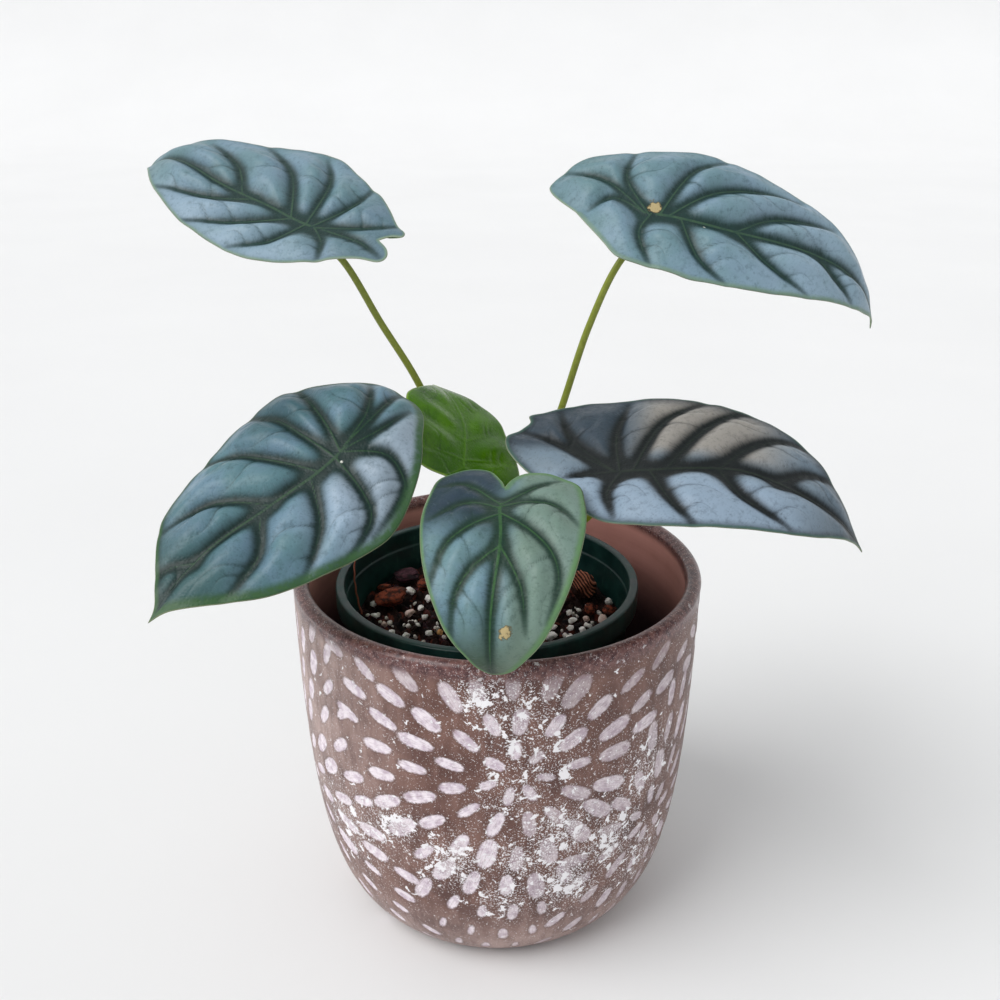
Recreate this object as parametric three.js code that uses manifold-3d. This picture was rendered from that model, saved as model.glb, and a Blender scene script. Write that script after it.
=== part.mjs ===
// A potted silver dragon alocasia: six leaves on their petioles grow from a corm in a nursery pot
// of bark and perlite mix, and that pot stands loose inside a glazed cover pot.
// Millimetres, +Z up. The origin is the centre of the cover pot's flat foot, and -Y is the front.
import * as THREE from 'three';
import * as BufferGeometryUtils from 'three/addons/utils/BufferGeometryUtils.js';
import Module from 'manifold-3d';

const wasm = await Module();
wasm.setup();

// Clearance between pieces that touch
const GAP = 0.3;

// Cover pot
const COVER_HEIGHT = 131;
const COVER_RIM_RADIUS = 72.5;
const COVER_FOOT_RADIUS = 48;
const COVER_WALL = 5.5;
const COVER_FLOOR = 8;
const COVER_SEGMENTS = 48;

// Nursery pot
const NURSERY_CENTRE = [-3.7, -1.3];
const NURSERY_RIM_RADIUS = 54;
const NURSERY_RIM_TOP = 126;
const NURSERY_RIM_DEPTH = 7.8;
const NURSERY_LIP_WIDTH = 3.1;
const NURSERY_WALL = 1.2;
const NURSERY_ROLL_WALL = 1;
const NURSERY_BASE_RADIUS = 38.5;
const NURSERY_BASE_HEIGHT = COVER_FLOOR + GAP;
const NURSERY_FLOOR = 1.6;
const NURSERY_SEGMENTS = 40;
const DRAIN_HOLE_RADIUS = 4;
const DRAIN_HOLE_COUNT = 6;
const DRAIN_RING_RADIUS = 27;

// Potting mix and corm
const MIX_LEVEL = 107.5;
const MIX_TILT = 0.07;
const MIX_BUMP = 0.7;
const MIX_SEGMENTS = 36;
const PROBE_HEIGHT = 200;
const CORM_CENTRE = [-4, 0];
const CORM_TOP = 112;
const CORM_TOP_RADIUS = 7;
const CORM_RADIUS = 9.5;
const CORM_BOTTOM = 96;
const SHEATH_RING_RADIUS = 4.6;
const SHEATH_ANGLES = { a: 120, b: 60, c: 180, d: 0, e: 300, f: 240 };

// Leaves
const BLADE_THICKNESS = 0.9;
const PETIOLE_RADIUS = 1.35;
const PETIOLE_SIDES = 8;
const PETIOLE_STEPS = 18;
const PETIOLE_STANDOFF = 0.75;
const PETIOLE_APPROACH = 4.5;
const SHOOT_HEIGHT = 3;

const TAIL_STATION = 0.36;
const CURL_START = 0.6;
const SPOKES_PER_HALF = 17;
const BLADE_RINGS = [0.36, 0.66, 0.88, 1];

// Each leaf: where the petiole meets the blade, which way the midrib leaves that point (degrees),
// junction-to-tip length, and the outline of the left and the right half from the tip to the sinus,
// along the midrib in lengths and across it in mm. droop is how far the tip half bends down along
// the midrib and tail the same behind the junction (degrees), sag the curvature across the blade
// (1/mm) and curl the extra drop of the tip in mm.
const LEAVES = {
  a: {
    junction: [-61.5, 15.5, 250.5], heading: 149, pitch: 15, roll: -24.5, length: 81,
    droop: 3, tail: -6, sagLeft: 0.002, sagRight: 0.002, curl: 10,
    left: [
      [0.97, 0], [0.935, 3.2], [0.87, 7], [0.75, 14.2], [0.61, 20.2], [0.44, 25.4], [0.24, 28.5],
      [0.07, 28.8], [-0.05, 25.6], [-0.16, 20.7], [-0.25, 15.3], [-0.35, 10.8], [-0.43, 8.8],
      [-0.45, 6], [-0.42, 2.6], [-0.355, 0],
    ],
    right: [
      [0.97, 0], [0.97, 3.2], [0.945, 7.2], [0.88, 11.4], [0.75, 16], [0.56, 20.6], [0.39, 25.6],
      [0.23, 29.4], [0.12, 29.4], [0.01, 26.3], [-0.09, 23], [-0.17, 20.4], [-0.26, 15.5],
      [-0.35, 10], [-0.42, 6.9], [-0.43, 4.4], [-0.39, 3.3], [-0.355, 0],
    ],
    stem: [[-9, 8, 130], [-16, 15, 160], [-27, 17, 191], [-40, 17, 214], [-53, 16, 237]],
  },
  b: {
    junction: [54.5, 20, 250], heading: -9, pitch: -5, roll: 39.5, length: 100,
    droop: 49, tail: 19, sagLeft: 0.008, sagRight: 0.002, curl: 10,
    left: [
      [1, 0], [0.93, 2.3], [0.82, 9.7], [0.64, 20.9], [0.4, 28.7], [0.19, 33.6], [0.06, 33.8],
      [-0.07, 31.8], [-0.18, 30.5], [-0.28, 28], [-0.34, 23.1], [-0.39, 16.4], [-0.4, 12.2],
      [-0.35, 5.8], [-0.285, 0],
    ],
    right: [
      [1, 0], [0.93, 1.7], [0.82, 6.8], [0.64, 14.4], [0.4, 22.2], [0.16, 24.9], [0.06, 23.6],
      [-0.04, 21.7], [-0.12, 19.3], [-0.17, 13.9], [-0.23, 6.8], [-0.285, 0],
    ],
    stem: [[2, 8, 130], [12, 14, 154], [22, 17, 181], [32, 19, 213], [42, 20, 235]],
  },
  c: {
    junction: [-50.5, -35, 189], heading: 222, pitch: -31, roll: -21, length: 77.5,
    droop: -7.5, tail: 39, sagLeft: 0.014, sagRight: 0.014, curl: 4,
    left: [
      [1, 0], [0.93, 2.4], [0.82, 10.1], [0.64, 21.9], [0.4, 29.6], [0.21, 34], [0.11, 34],
      [0.01, 31.8], [-0.1, 28.2], [-0.2, 23.4], [-0.28, 17.6], [-0.36, 12.7], [-0.42, 8.2],
      [-0.455, 2.2], [-0.46, 0],
    ],
    right: [
      [1, 0], [0.93, 2.9], [0.82, 12.7], [0.64, 27], [0.4, 34], [0.16, 38], [0.02, 37], [-0.08, 34.2],
      [-0.16, 29.9], [-0.25, 24.3], [-0.34, 19.2], [-0.43, 15], [-0.465, 9.8], [-0.47, 3.6],
      [-0.46, 0],
    ],
    stem: [[-9, -1, 128], [-12, 1, 150], [-17, -3, 170], [-28, -13, 184], [-41, -26, 189]],
  },
  d: {
    junction: [41.5, -27, 178], heading: -17, pitch: 12.5, roll: 19, length: 88,
    droop: 61, tail: -17.5, sagLeft: 0.002, sagRight: 0.002, curl: 5,
    left: [
      [1, 0], [0.93, 2.8], [0.82, 12.4], [0.64, 26.9], [0.4, 33.6], [0.14, 37], [0, 37.6], [-0.16, 37],
      [-0.28, 33.9], [-0.37, 29.2], [-0.42, 25.9], [-0.41, 22], [-0.44, 16.9], [-0.48, 11.5],
      [-0.465, 5.5], [-0.42, 0],
    ],
    right: [
      [1, 0], [0.93, 2.2], [0.82, 8.9], [0.64, 19.4], [0.4, 25.9], [0.14, 29], [-0.02, 27],
      [-0.1, 23.5], [-0.18, 17], [-0.27, 10.5], [-0.35, 5.5], [-0.42, 0],
    ],
    stem: [[6, -3, 124], [18, -9, 140], [32, -18, 158]],
  },
  e: {
    junction: [1.5, -53, 174.5], heading: 265, pitch: -6, roll: -0.5, length: 64.5,
    droop: 100, tail: -8, sagLeft: 0.002, sagRight: 0.002, curl: 10,
    left: [
      [1, 0], [0.94, 2.9], [0.82, 8.9], [0.64, 16.6], [0.4, 22.7], [0.14, 25.5], [-0.09, 24.9],
      [-0.24, 22.5], [-0.32, 14.2], [-0.31, 6.2], [-0.24, 1.8], [-0.18, 0],
    ],
    right: [
      [1, 0], [0.94, 1.5], [0.82, 6.3], [0.64, 14.4], [0.4, 20.7], [0.14, 23.5], [-0.09, 23],
      [-0.24, 20.9], [-0.32, 13.2], [-0.32, 5.8], [-0.24, 1.7], [-0.18, 0],
    ],
    stem: [[-2, -14, 124], [0, -30, 142], [1, -44, 157]],
  },
  f: {
    junction: [-10.5, -14.6, 173.4], heading: 102, pitch: 40, roll: 29.5, length: 41,
    droop: 18, tail: 5.5, sagLeft: 0.002, sagRight: 0.002, curl: 4.5,
    left: [
      [1, 0], [0.93, 1.8], [0.82, 8.1], [0.64, 17.8], [0.4, 19.7], [0.14, 21.3], [-0.06, 18.8],
      [-0.15, 8.1], [-0.2, 4.5], [-0.19, 1.9], [-0.15, 0.7], [-0.11, 0],
    ],
    right: [
      [1, 0], [0.93, 2], [0.82, 8.9], [0.64, 19.4], [0.4, 22.1], [0.14, 24], [-0.07, 21.5],
      [-0.18, 10.7], [-0.24, 6.1], [-0.24, 2.6], [-0.18, 0.9], [-0.14, 0],
    ],
    stem: [[-6, -6, 126], [-7, -8, 145], [-8, -11, 160]],
  },
};

// Loose pieces on the mix: name, place, size along its own axes and turn about Z in degrees
const BARK = [
  ['bark_1', [-39.5, 9], [13, 9, 7], 20],
  ['bark_2', [-35, 27], [12, 8, 5], -35],
  ['bark_3', [-28, 20.5], [7, 5, 4.5], 60],
  ['bark_4', [-43, 19], [6, 4.5, 4], 10],
  ['bark_5', [34, 4], [6, 4.5, 4], 75],
  ['bark_6', [41, 3], [5.4, 4, 3.5], -20],
  ['bark_7', [-25, 33], [6.5, 4.5, 6], 40],
  ['coco_husk', [31.5, 16], [12, 10, 12], -15],
];
const PERLITE = [
  [-32.9, 17, 4.4], [-25.5, 11.5, 3.9], [-28.5, 6, 3.3], [-32, 0.5, 4.6], [-26.5, -1, 3],
  [-24.5, -10.7, 3.2], [-20.5, -11.5, 2.9], [-32.5, -12.8, 3.2], [-45, 0, 3.2], [-46.5, 9, 3],
  [-41, -5, 3], [-38, -10.5, 3.1], [29.5, 28.5, 3.6], [41.5, 9.5, 3.4], [38.5, -3, 4.8],
  [22, 4, 3.2], [26.5, 2, 3], [27.5, -2.5, 3.8], [32.5, -2, 3.1], [20.5, -7, 3.2],
  [19, -15, 5.2], [26.3, -8, 3.1], [30.6, -9.5, 3], [26, -15, 3.9], [34.5, -11, 3],
  [14, -20.5, 3.2],
];
const LUMP_RELIEF = 0.07;
const FIBRE_RADIUS = 0.5;
const FIBRE_ROUTE = [[-49.2, -4, 112], [-51, 0, 117], [-52.3, 5, 122], [-52.4, 9, 127.5]];

// Plain colours of the pieces
const COLOURS = {
  cover: [0x6b4a3c, 0.45], nursery: [0x1f2b26, 0.5], mix: [0x3a2a20, 0.95], corm: [0x6a5a35, 0.8],
  petiole: [0x8a9a3a, 0.5], blade: [0x8fa9b5, 0.45], young: [0x4c7a18, 0.35],
  bark: [0x7a4a33, 0.9], husk: [0x9a7a52, 0.95], perlite: [0xe9e6df, 0.95], fibre: [0x7d3f2c, 0.8],
};

const plant = new THREE.Group();

function addPiece(name, geometry, finish) {
  const [colour, roughness] = COLOURS[finish];
  const material = new THREE.MeshStandardMaterial({ color: colour, roughness, metalness: 0 });
  const mesh = new THREE.Mesh(geometry, material);
  mesh.name = name;
  plant.add(mesh);
  return mesh;
}

function bare(geometry) {
  geometry.deleteAttribute('normal');
  geometry.deleteAttribute('uv');
  return BufferGeometryUtils.mergeVertices(geometry, 1e-4);
}

function solidOf(geometry) {
  const merged = bare(geometry);
  const vertProperties = new Float32Array(merged.attributes.position.array);
  const triVerts = new Uint32Array(merged.index.array);
  return new wasm.Manifold(new wasm.Mesh({ numProp: 3, vertProperties, triVerts }));
}

function geometryOf(solid) {
  const mesh = solid.getMesh();
  const geometry = new THREE.BufferGeometry();
  geometry.setAttribute('position', new THREE.BufferAttribute(mesh.vertProperties, 3));
  geometry.setIndex(new THREE.BufferAttribute(mesh.triVerts, 1));
  geometry.computeVertexNormals();
  return geometry;
}

// A turned piece: the profile's points are [radius, height] and start and end on the axis
function turned(profile, segments, [x, y]) {
  const points = profile.map(([radius, height]) => new THREE.Vector2(radius, height));
  const geometry = new THREE.LatheGeometry(points, segments);
  geometry.rotateX(Math.PI / 2);
  geometry.translate(x, y, 0);
  return geometry;
}

function sampled(curve, steps) {
  return curve.getPoints(steps).map((point) => [point.x, point.y]);
}

// Cover pot: a round belly over a narrow flat foot, and a rounded rim
function makeCoverPot() {
  const foot = new THREE.Vector2(COVER_FOOT_RADIUS, 0);
  const rimStart = new THREE.Vector2(COVER_RIM_RADIUS, COVER_HEIGHT - COVER_WALL / 2);
  const belly = new THREE.CubicBezierCurve(
    foot,
    new THREE.Vector2(66, 7),
    new THREE.Vector2(71.5, 46),
    rimStart,
  );
  const lip = new THREE.EllipseCurve(
    COVER_RIM_RADIUS - COVER_WALL / 2, COVER_HEIGHT - COVER_WALL / 2,
    COVER_WALL / 2, COVER_WALL / 2, 0, Math.PI,
  );
  const inside = new THREE.CubicBezierCurve(
    new THREE.Vector2(COVER_RIM_RADIUS - COVER_WALL, COVER_HEIGHT - COVER_WALL / 2),
    new THREE.Vector2(66, 50),
    new THREE.Vector2(61, COVER_FLOOR + 4),
    new THREE.Vector2(46, COVER_FLOOR),
  );
  const profile = [
    [0, 0], ...sampled(belly, 9), ...sampled(lip, 5).slice(1), ...sampled(inside, 7).slice(1),
    [0, COVER_FLOOR],
  ];
  addPiece('cover_pot', bare(turned(profile, COVER_SEGMENTS, [0, 0])), 'cover');
}

// Inner radius of the nursery pot's wall below its rim
function nurseryInnerRadius(height) {
  const shoulder = NURSERY_RIM_TOP - NURSERY_RIM_DEPTH;
  const floor = NURSERY_BASE_HEIGHT + NURSERY_FLOOR;
  const top = NURSERY_RIM_RADIUS - NURSERY_LIP_WIDTH - 0.6;
  const bottom = NURSERY_BASE_RADIUS - NURSERY_WALL;
  return bottom + ((top - bottom) * (height - floor)) / (shoulder - floor);
}

// Nursery pot: thin tapered wall, a rolled rim with an open underside, and drain holes
function makeNurseryPot() {
  const shoulder = NURSERY_RIM_TOP - NURSERY_RIM_DEPTH;
  const floor = NURSERY_BASE_HEIGHT + NURSERY_FLOOR;
  const lipInner = NURSERY_RIM_RADIUS - NURSERY_LIP_WIDTH;
  const profile = [
    [0, NURSERY_BASE_HEIGHT],
    [NURSERY_BASE_RADIUS, NURSERY_BASE_HEIGHT],
    [nurseryInnerRadius(shoulder) + NURSERY_WALL, shoulder],
    [lipInner + NURSERY_WALL, NURSERY_RIM_TOP - NURSERY_ROLL_WALL * 1.6],
    [NURSERY_RIM_RADIUS - NURSERY_ROLL_WALL, NURSERY_RIM_TOP - NURSERY_ROLL_WALL * 1.6],
    [NURSERY_RIM_RADIUS - NURSERY_ROLL_WALL, shoulder],
    [NURSERY_RIM_RADIUS, shoulder],
    [NURSERY_RIM_RADIUS, NURSERY_RIM_TOP - NURSERY_ROLL_WALL],
    [NURSERY_RIM_RADIUS - NURSERY_ROLL_WALL, NURSERY_RIM_TOP],
    [lipInner + NURSERY_ROLL_WALL / 2, NURSERY_RIM_TOP],
    [lipInner, NURSERY_RIM_TOP - NURSERY_ROLL_WALL],
    [lipInner, shoulder + 1],
    [nurseryInnerRadius(shoulder), shoulder],
    [nurseryInnerRadius(floor), floor],
    [0, floor],
  ];
  let solid = solidOf(turned(profile, NURSERY_SEGMENTS, NURSERY_CENTRE));
  for (let i = 0; i < DRAIN_HOLE_COUNT; i += 1) {
    const angle = (2 * Math.PI * i) / DRAIN_HOLE_COUNT;
    const hole = new THREE.CylinderGeometry(DRAIN_HOLE_RADIUS, DRAIN_HOLE_RADIUS, 12, 10);
    hole.rotateX(Math.PI / 2);
    hole.translate(
      NURSERY_CENTRE[0] + DRAIN_RING_RADIUS * Math.cos(angle),
      NURSERY_CENTRE[1] + DRAIN_RING_RADIUS * Math.sin(angle),
      NURSERY_BASE_HEIGHT,
    );
    solid = solid.subtract(solidOf(hole));
  }
  addPiece('nursery_pot', geometryOf(solid), 'nursery');
}

// The mix is a little higher at the back of the pot, with low bumps
function mixHeight(x, y) {
  const bumps = Math.sin(x * 0.31 + 1) * Math.sin(y * 0.27 - 0.6) + 0.5 * Math.sin((x + y) * 0.53);
  return MIX_LEVEL + MIX_TILT * y + MIX_BUMP * bumps;
}

function cormProfile(grow) {
  return [
    [0, CORM_BOTTOM - grow],
    [CORM_RADIUS * 0.6, CORM_BOTTOM - grow],
    [CORM_RADIUS + grow, CORM_BOTTOM + 5],
    [CORM_RADIUS + grow, CORM_TOP - 4],
    [CORM_TOP_RADIUS + grow, CORM_TOP],
    [0, CORM_TOP + grow * 30],
  ];
}

// Potting mix: fills the nursery pot, with a socket for the corm
function makePottingMix() {
  const bottom = NURSERY_BASE_HEIGHT + NURSERY_FLOOR + GAP;
  const side = (height) => nurseryInnerRadius(height) - GAP * 2;
  const topRadius = side(MIX_LEVEL - 4);
  const rings = [1, 0.93, 0.78, 0.6, 0.42, 0.22];
  const profile = [[0, bottom], [side(bottom), bottom], [topRadius, MIX_LEVEL - 4]];
  rings.forEach((ring) => profile.push([topRadius * ring - 0.4, MIX_LEVEL]));
  profile.push([0, MIX_LEVEL]);
  const geometry = turned(profile, MIX_SEGMENTS, NURSERY_CENTRE);
  const position = geometry.attributes.position;
  for (let i = 0; i < position.count; i += 1) {
    if (position.getZ(i) > MIX_LEVEL - 1) {
      position.setZ(i, mixHeight(position.getX(i), position.getY(i)));
    }
  }
  const socket = solidOf(turned(cormProfile(GAP), 20, CORM_CENTRE));
  return addPiece('potting_mix', geometryOf(solidOf(geometry).subtract(socket)), 'mix');
}

function makeCorm() {
  addPiece('corm', bare(turned(cormProfile(0), 20, CORM_CENTRE)), 'corm');
}

const bell = (value, [centre, spread]) => Math.exp(-(((value - centre) / spread) ** 2));

// One half of a leaf's flat outline as a smooth curve from the tip to the sinus
function halfOutline(leaf, half) {
  return new THREE.SplineCurve(
    half.map(([along, across]) => new THREE.Vector2(along * leaf.length, across)),
  );
}

// A flat point of the blade, bent along the midrib and across it
function bentPoint(leaf, along, across) {
  const droop = THREE.MathUtils.degToRad(leaf.droop) / leaf.length;
  const tail = THREE.MathUtils.degToRad(leaf.tail) / (TAIL_STATION * leaf.length);
  const curve = along >= 0 ? droop : tail;
  const sag = across >= 0 ? leaf.sagLeft : leaf.sagRight;
  const angle = curve * along;
  const tipPart = THREE.MathUtils.clamp(along / leaf.length - CURL_START, 0, 1) / (1 - CURL_START);
  const drop = -(1 - Math.cos(sag * across)) / sag - leaf.curl * tipPart ** 2;
  return new THREE.Vector3(
    Math.sin(angle) / curve + drop * Math.sin(angle),
    Math.sin(sag * across) / sag,
    -(1 - Math.cos(angle)) / curve + drop * Math.cos(angle),
  );
}

function bladeNormal(leaf, along, across) {
  const step = 0.2;
  const before = bentPoint(leaf, along - step, across);
  const after = bentPoint(leaf, along + step, across);
  const left = bentPoint(leaf, along, across - step);
  const right = bentPoint(leaf, along, across + step);
  return after.sub(before).cross(right.sub(left)).normalize();
}

// Blade: rings of points from the junction out to the outline, on both faces
function bladeGeometry(leaf) {
  const left = halfOutline(leaf, leaf.left).getPoints(SPOKES_PER_HALF);
  const right = halfOutline(leaf, leaf.right).getPoints(SPOKES_PER_HALF);
  const outline = left.map((point) => [point.x, Math.max(point.y, 0)]);
  for (let i = SPOKES_PER_HALF - 1; i > 0; i -= 1) {
    outline.push([right[i].x, -Math.max(right[i].y, 0)]);
  }
  const spokes = outline.length;
  const flat = [[0, 0]];
  BLADE_RINGS.forEach((ring) => outline.forEach(([x, y]) => flat.push([x * ring, y * ring])));
  const vertices = [];
  [1, -1].forEach((face) => {
    flat.forEach(([along, across]) => {
      const point = bentPoint(leaf, along, across);
      point.addScaledVector(bladeNormal(leaf, along, across), (face * BLADE_THICKNESS) / 2);
      vertices.push(point.x, point.y, point.z);
    });
  });
  const faces = [];
  const under = flat.length;
  const at = (ring, spoke) => 1 + ring * spokes + (spoke % spokes);
  for (let spoke = 0; spoke < spokes; spoke += 1) {
    faces.push(0, at(0, spoke), at(0, spoke + 1));
    faces.push(under, under + at(0, spoke + 1), under + at(0, spoke));
    for (let ring = 0; ring < BLADE_RINGS.length - 1; ring += 1) {
      const p = at(ring, spoke);
      const q = at(ring + 1, spoke);
      const r = at(ring + 1, spoke + 1);
      const s = at(ring, spoke + 1);
      faces.push(p, q, r, p, r, s);
      faces.push(under + p, under + r, under + q, under + p, under + s, under + r);
    }
    const edge = at(BLADE_RINGS.length - 1, spoke);
    const next = at(BLADE_RINGS.length - 1, spoke + 1);
    faces.push(edge, under + edge, under + next, edge, under + next, next);
  }
  const geometry = new THREE.BufferGeometry();
  geometry.setAttribute('position', new THREE.Float32BufferAttribute(vertices, 3));
  geometry.setIndex(faces);
  geometry.computeVertexNormals();
  return geometry;
}

function leafTurn(leaf) {
  const { degToRad } = THREE.MathUtils;
  return new THREE.Euler(degToRad(leaf.roll), -degToRad(leaf.pitch), degToRad(leaf.heading), 'ZYX');
}

function makeBlade(key, leaf) {
  const mesh = addPiece(`leaf_${key}`, bladeGeometry(leaf), key === 'f' ? 'young' : 'blade');
  mesh.position.set(...leaf.junction);
  mesh.rotation.copy(leafTurn(leaf));
}

function tube(points, radius, sides, steps) {
  const route = new THREE.CatmullRomCurve3(points);
  const section = new THREE.Shape();
  for (let i = 0; i < sides; i += 1) {
    const angle = (2 * Math.PI * i) / sides;
    const [x, y] = [radius * Math.cos(angle), radius * Math.sin(angle)];
    if (i === 0) {
      section.moveTo(x, y);
    } else {
      section.lineTo(x, y);
    }
  }
  return new THREE.ExtrudeGeometry(section, { steps, extrudePath: route });
}

// Petiole: rises from its place on the corm's top and meets the blade from below
function makePetiole(key, leaf) {
  const angle = THREE.MathUtils.degToRad(SHEATH_ANGLES[key]);
  const base = new THREE.Vector3(
    CORM_CENTRE[0] + SHEATH_RING_RADIUS * Math.cos(angle),
    CORM_CENTRE[1] + SHEATH_RING_RADIUS * Math.sin(angle),
    CORM_TOP + GAP,
  );
  const shoot = base.clone().setZ(CORM_TOP + SHOOT_HEIGHT);
  const normal = new THREE.Vector3(0, 0, 1).applyEuler(leafTurn(leaf));
  const junction = new THREE.Vector3(...leaf.junction);
  const stop = junction.clone().addScaledVector(normal, -(BLADE_THICKNESS / 2 + PETIOLE_STANDOFF));
  const approach = junction.clone().addScaledVector(normal, -PETIOLE_APPROACH);
  const middle = leaf.stem.map((point) => new THREE.Vector3(...point));
  const points = [base, shoot, ...middle, approach, stop];
  addPiece(`petiole_${key}`, tube(points, PETIOLE_RADIUS, PETIOLE_SIDES, PETIOLE_STEPS), 'petiole');
}

// A rough lump: a ball of flat facets pushed in and out by a smooth formula
function lump(size, detail, seed) {
  const geometry = new THREE.IcosahedronGeometry(0.5, detail);
  const position = geometry.attributes.position;
  const point = new THREE.Vector3();
  for (let i = 0; i < position.count; i += 1) {
    point.fromBufferAttribute(position, i);
    const wave = Math.sin(point.x * 9 + seed) + Math.sin(point.y * 8 + seed * 2) + Math.sin(point.z * 7);
    point.multiplyScalar(1 + LUMP_RELIEF * wave);
    position.setXYZ(i, point.x * size[0], point.y * size[1], point.z * size[2]);
  }
  return bare(geometry);
}

// Lowers a lump onto the mix, probing straight down from each of its corners
function settleOnMix(mesh, mix) {
  mesh.updateMatrixWorld(true);
  const down = new THREE.Vector3(0, 0, -1);
  const corner = new THREE.Vector3();
  const position = mesh.geometry.attributes.position;
  let lift = -Infinity;
  for (let i = 0; i < position.count; i += 1) {
    corner.fromBufferAttribute(position, i).applyMatrix4(mesh.matrixWorld);
    const probe = new THREE.Raycaster(new THREE.Vector3(corner.x, corner.y, PROBE_HEIGHT), down);
    const [hit] = probe.intersectObject(mix);
    if (hit) {
      lift = Math.max(lift, hit.point.z - corner.z);
    }
  }
  mesh.position.z += lift + GAP * 1.2;
}

function makeLumps(mix) {
  BARK.forEach(([name, [x, y], size, turn], index) => {
    const finish = name === 'coco_husk' ? 'husk' : 'bark';
    const mesh = addPiece(name, lump(size, 1, index * 1.7), finish);
    mesh.position.set(x, y, 0);
    mesh.rotation.z = THREE.MathUtils.degToRad(turn);
    settleOnMix(mesh, mix);
  });
  PERLITE.forEach(([x, y, size], index) => {
    const grain = lump([size, size * 0.85, size * 0.8], 0, index * 2.1);
    const mesh = addPiece(`perlite_${index + 1}`, grain, 'perlite');
    mesh.position.set(x, y, 0);
    mesh.rotation.z = index * 0.8;
    settleOnMix(mesh, mix);
  });
}

function makeFibre() {
  const points = FIBRE_ROUTE.map((point) => new THREE.Vector3(...point));
  addPiece('dry_fibre', tube(points, FIBRE_RADIUS, 6, 8), 'fibre');
}

makeCoverPot();
makeNurseryPot();
const mix = makePottingMix();
makeCorm();
Object.entries(LEAVES).forEach(([key, leaf]) => {
  makePetiole(key, leaf);
  makeBlade(key, leaf);
});
makeLumps(mix);
makeFibre();

export default plant;
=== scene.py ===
import math

import bmesh
import bpy
import numpy as np
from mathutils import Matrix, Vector, noise


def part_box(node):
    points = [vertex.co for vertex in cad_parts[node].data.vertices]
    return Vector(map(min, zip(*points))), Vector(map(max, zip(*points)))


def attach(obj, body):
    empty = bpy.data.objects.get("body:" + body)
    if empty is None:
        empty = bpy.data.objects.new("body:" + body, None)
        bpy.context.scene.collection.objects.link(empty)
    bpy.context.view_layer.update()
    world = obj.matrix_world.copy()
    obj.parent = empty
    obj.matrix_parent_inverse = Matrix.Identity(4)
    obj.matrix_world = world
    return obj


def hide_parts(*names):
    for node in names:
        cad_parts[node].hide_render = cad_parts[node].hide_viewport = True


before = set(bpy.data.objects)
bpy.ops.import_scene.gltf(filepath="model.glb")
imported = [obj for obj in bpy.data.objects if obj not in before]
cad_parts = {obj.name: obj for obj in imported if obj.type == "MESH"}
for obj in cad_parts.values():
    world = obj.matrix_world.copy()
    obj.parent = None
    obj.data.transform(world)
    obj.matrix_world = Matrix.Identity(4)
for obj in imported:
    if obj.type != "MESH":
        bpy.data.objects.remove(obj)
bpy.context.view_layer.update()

MM = 0.001


# Colours and node materials

def rgb(red, green, blue):
    """A colour from 0 to 255 as Blender's linear RGBA."""
    linear = []
    for part in (red, green, blue):
        share = part / 255
        linear.append(share / 12.92 if share <= 0.04045 else ((share + 0.055) / 1.055) ** 2.4)
    return (*linear, 1.0)


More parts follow.
